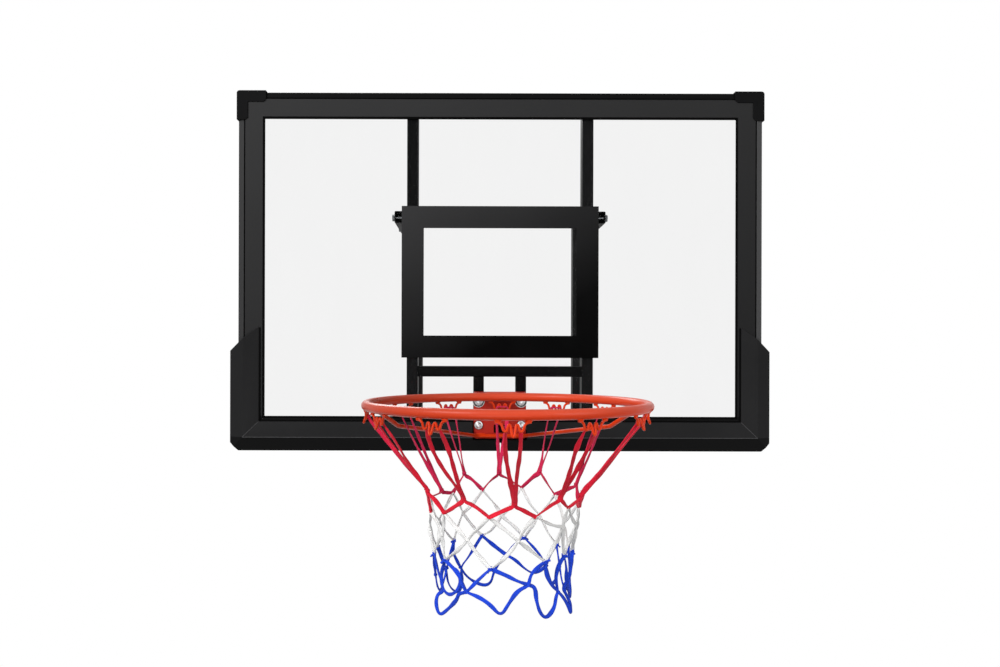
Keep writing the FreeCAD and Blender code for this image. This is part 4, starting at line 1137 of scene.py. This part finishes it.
def dress_frame(coat, trim, cap_plastic, pad_plastic, zinc, orange, shaded_plate_orange, bead):
    tubes = ("front_upright", "rear_upright", "upper_arm", "lower_arm", "frame_tube", "rim_stub")
    for side, _ in SIDES:
        dress(f"guard_pad_{side}", pad_plastic, PAD_EDGE, 3)
        dress(f"corner_cap_{side}", cap_plastic, CAP_EDGE, 3)
        dress(f"trim_{side}", trim, TRIM_EDGE, along=2)
        for tube in tubes:
            dress(f"{tube}_{side}", coat)
        for level in ("upper", "lower"):
            dress(f"wall_plate_{level}_{side}", coat, WALL_PLATE_EDGE)
    for level in ("top", "bottom"):
        dress(f"trim_{level}", trim, TRIM_EDGE, along=0)
        dress(f"frame_tube_{level}", coat)
    dress("rim_crossbar", coat)
    dress("rim_stub_tie", coat)
    dress("rear_tube_plugs", cap_plastic, PLUG_EDGE)
    dress("panel_bead", bead, BEAD_EDGE)
    for end in ("front_pivot", "rear_pivot"):
        dress(f"{end}_bolts", zinc, BOLT_EDGE, 3)
        dress(f"{end}_nuts", zinc, NUT_EDGE)
        dress(f"{end}_washers", zinc, WASHER_EDGE)
    dress("rim_nuts", zinc, NUT_EDGE)
    dress("rim_ring", orange)
    dress("rim_brace", orange)
    dress("rim_plate", shaded_plate_orange, RIM_PLATE_EDGE)


# Stage


def make_camera():
    camera = bpy.data.cameras.new("photo_camera")
    camera.sensor_width = SENSOR_WIDTH
    camera.lens = FOCAL_PIXELS * SENSOR_WIDTH / PHOTO_WIDTH
    camera.shift_x = (PHOTO_WIDTH / 2 - VANISHING_POINT[0]) / PHOTO_WIDTH
    camera.shift_y = (VANISHING_POINT[1] - PHOTO_HEIGHT / 2) / PHOTO_WIDTH
    camera.clip_end = VIEW_END
    holder = bpy.data.objects.new("photo_camera", camera)
    scene.collection.objects.link(holder)
    holder.location = CAMERA_PLACE
    holder.rotation_euler = (math.pi / 2, CAMERA_ROLL, 0)
    scene.camera = holder


def make_floor():
    """A pale floor that takes the object's shadow and fades into white."""
    deselect()
    bpy.ops.mesh.primitive_plane_add(size=FLOOR_SIZE, location=(0, 0, FLOOR_LEVEL))
    floor = bpy.context.object
    floor.name = "studio_floor"
    shading, place = new_shading("pale_floor")
    away = shading.node("ShaderNodeVectorMath", {"operation": "LENGTH"}, {0: place}, output="Value")
    far = shading.rise(away, *FLOOR_FADE)
    near = shading.mix(shading.noise(place, scale=2), FLOOR_DARK, FLOOR_LIGHT)
    matt = shading.node("ShaderNodeBsdfDiffuse", inputs={"Color": shading.mix(far, near, BLACK)})
    glow = shading.node("ShaderNodeEmission", inputs={
        "Color": shading.mix(far, FLOOR_GLOW, WHITE), "Strength": 1.0})
    pale = shading.node("ShaderNodeAddShader", inputs={0: matt, 1: glow})
    dim = shading.node("ShaderNodeBsdfDiffuse", inputs={"Color": FLOOR_UNSEEN})
    both = shading.node("ShaderNodeMixShader", inputs={0: background_ray(shading), 1: dim, 2: pale})
    shading.node("ShaderNodeOutputMaterial", inputs={"Surface": both})
    wear(floor, shading.owner)


def softbox(name, place, aim, size, power):
    light = bpy.data.lights.new(name, "AREA")
    light.shape = "RECTANGLE"
    light.size, light.size_y = size
    light.energy = power
    holder = bpy.data.objects.new(name, light)
    scene.collection.objects.link(holder)
    holder.location = place
    holder.rotation_euler = (Vector(aim) - Vector(place)).to_track_quat("-Z", "Y").to_euler()


def make_light():
    """Softboxes in air that is white where it is looked at and gives little light."""
    scene.world = bpy.data.worlds.new("studio_air")
    shading = Shading(scene.world)
    soft, white = (
        shading.node("ShaderNodeBackground", inputs={"Color": WHITE, "Strength": strength})
        for strength in (AIR_LIGHT, 1.0))
    both = shading.node("ShaderNodeMixShader", inputs={0: background_ray(shading), 1: soft, 2: white})
    shading.node("ShaderNodeOutputWorld", inputs={"Surface": both})
    for name, settings in SOFTBOXES.items():
        softbox(name, *settings)


scene.view_settings.view_transform = "Standard"
make_camera()
orange = rim_paint("rim_paint", RIM_ORANGE, 0.3, 0.12, RIM_CROWN_HIGHLIGHT)
rubber = rubber_bead()
make_net()
make_hooks(orange)
make_rim_welds(orange)
make_rim_bolts(zinc_plate("zinc_plate", ZINC), rubber)
# Near-black moulding for the pads' lips: painted shadow in the gaps
make_pad_shadow_lips(moulding("shadow_lip_moulding", tint(BLACK_MOULDING, 0.12), 0.6, 0.02))
# Ridge beads four times lighter than the pads: a painted highlight
make_pad_ridges(moulding("ridge_highlight_moulding", tint(BLACK_MOULDING, 4), 0.45, 0.1))
dress_frame(
    coat=powder_coat(),
    trim=trim_coat(),
    cap_plastic=moulding("cap_moulding", tint(BLACK_MOULDING, 0.5), 0.6, 0.02),
    pad_plastic=moulding("pad_moulding", BLACK_MOULDING, 0.52, 0.05, underside_painted_shade=0.3),
    zinc=zinc_plate("dull_zinc_plate", ZINC_DULL),
    orange=orange,
    # Darker copy of the rim paint on the plate: painted shade
    shaded_plate_orange=rim_paint("rim_plate_shaded_paint", PLATE_ORANGE_SHADED, 0.42, 0.06),
    bead=rubber,
)
wear(nodes["clear_panel"], clear_sheet())
wear(nodes["target_square"], target_film())
make_floor()
make_light()
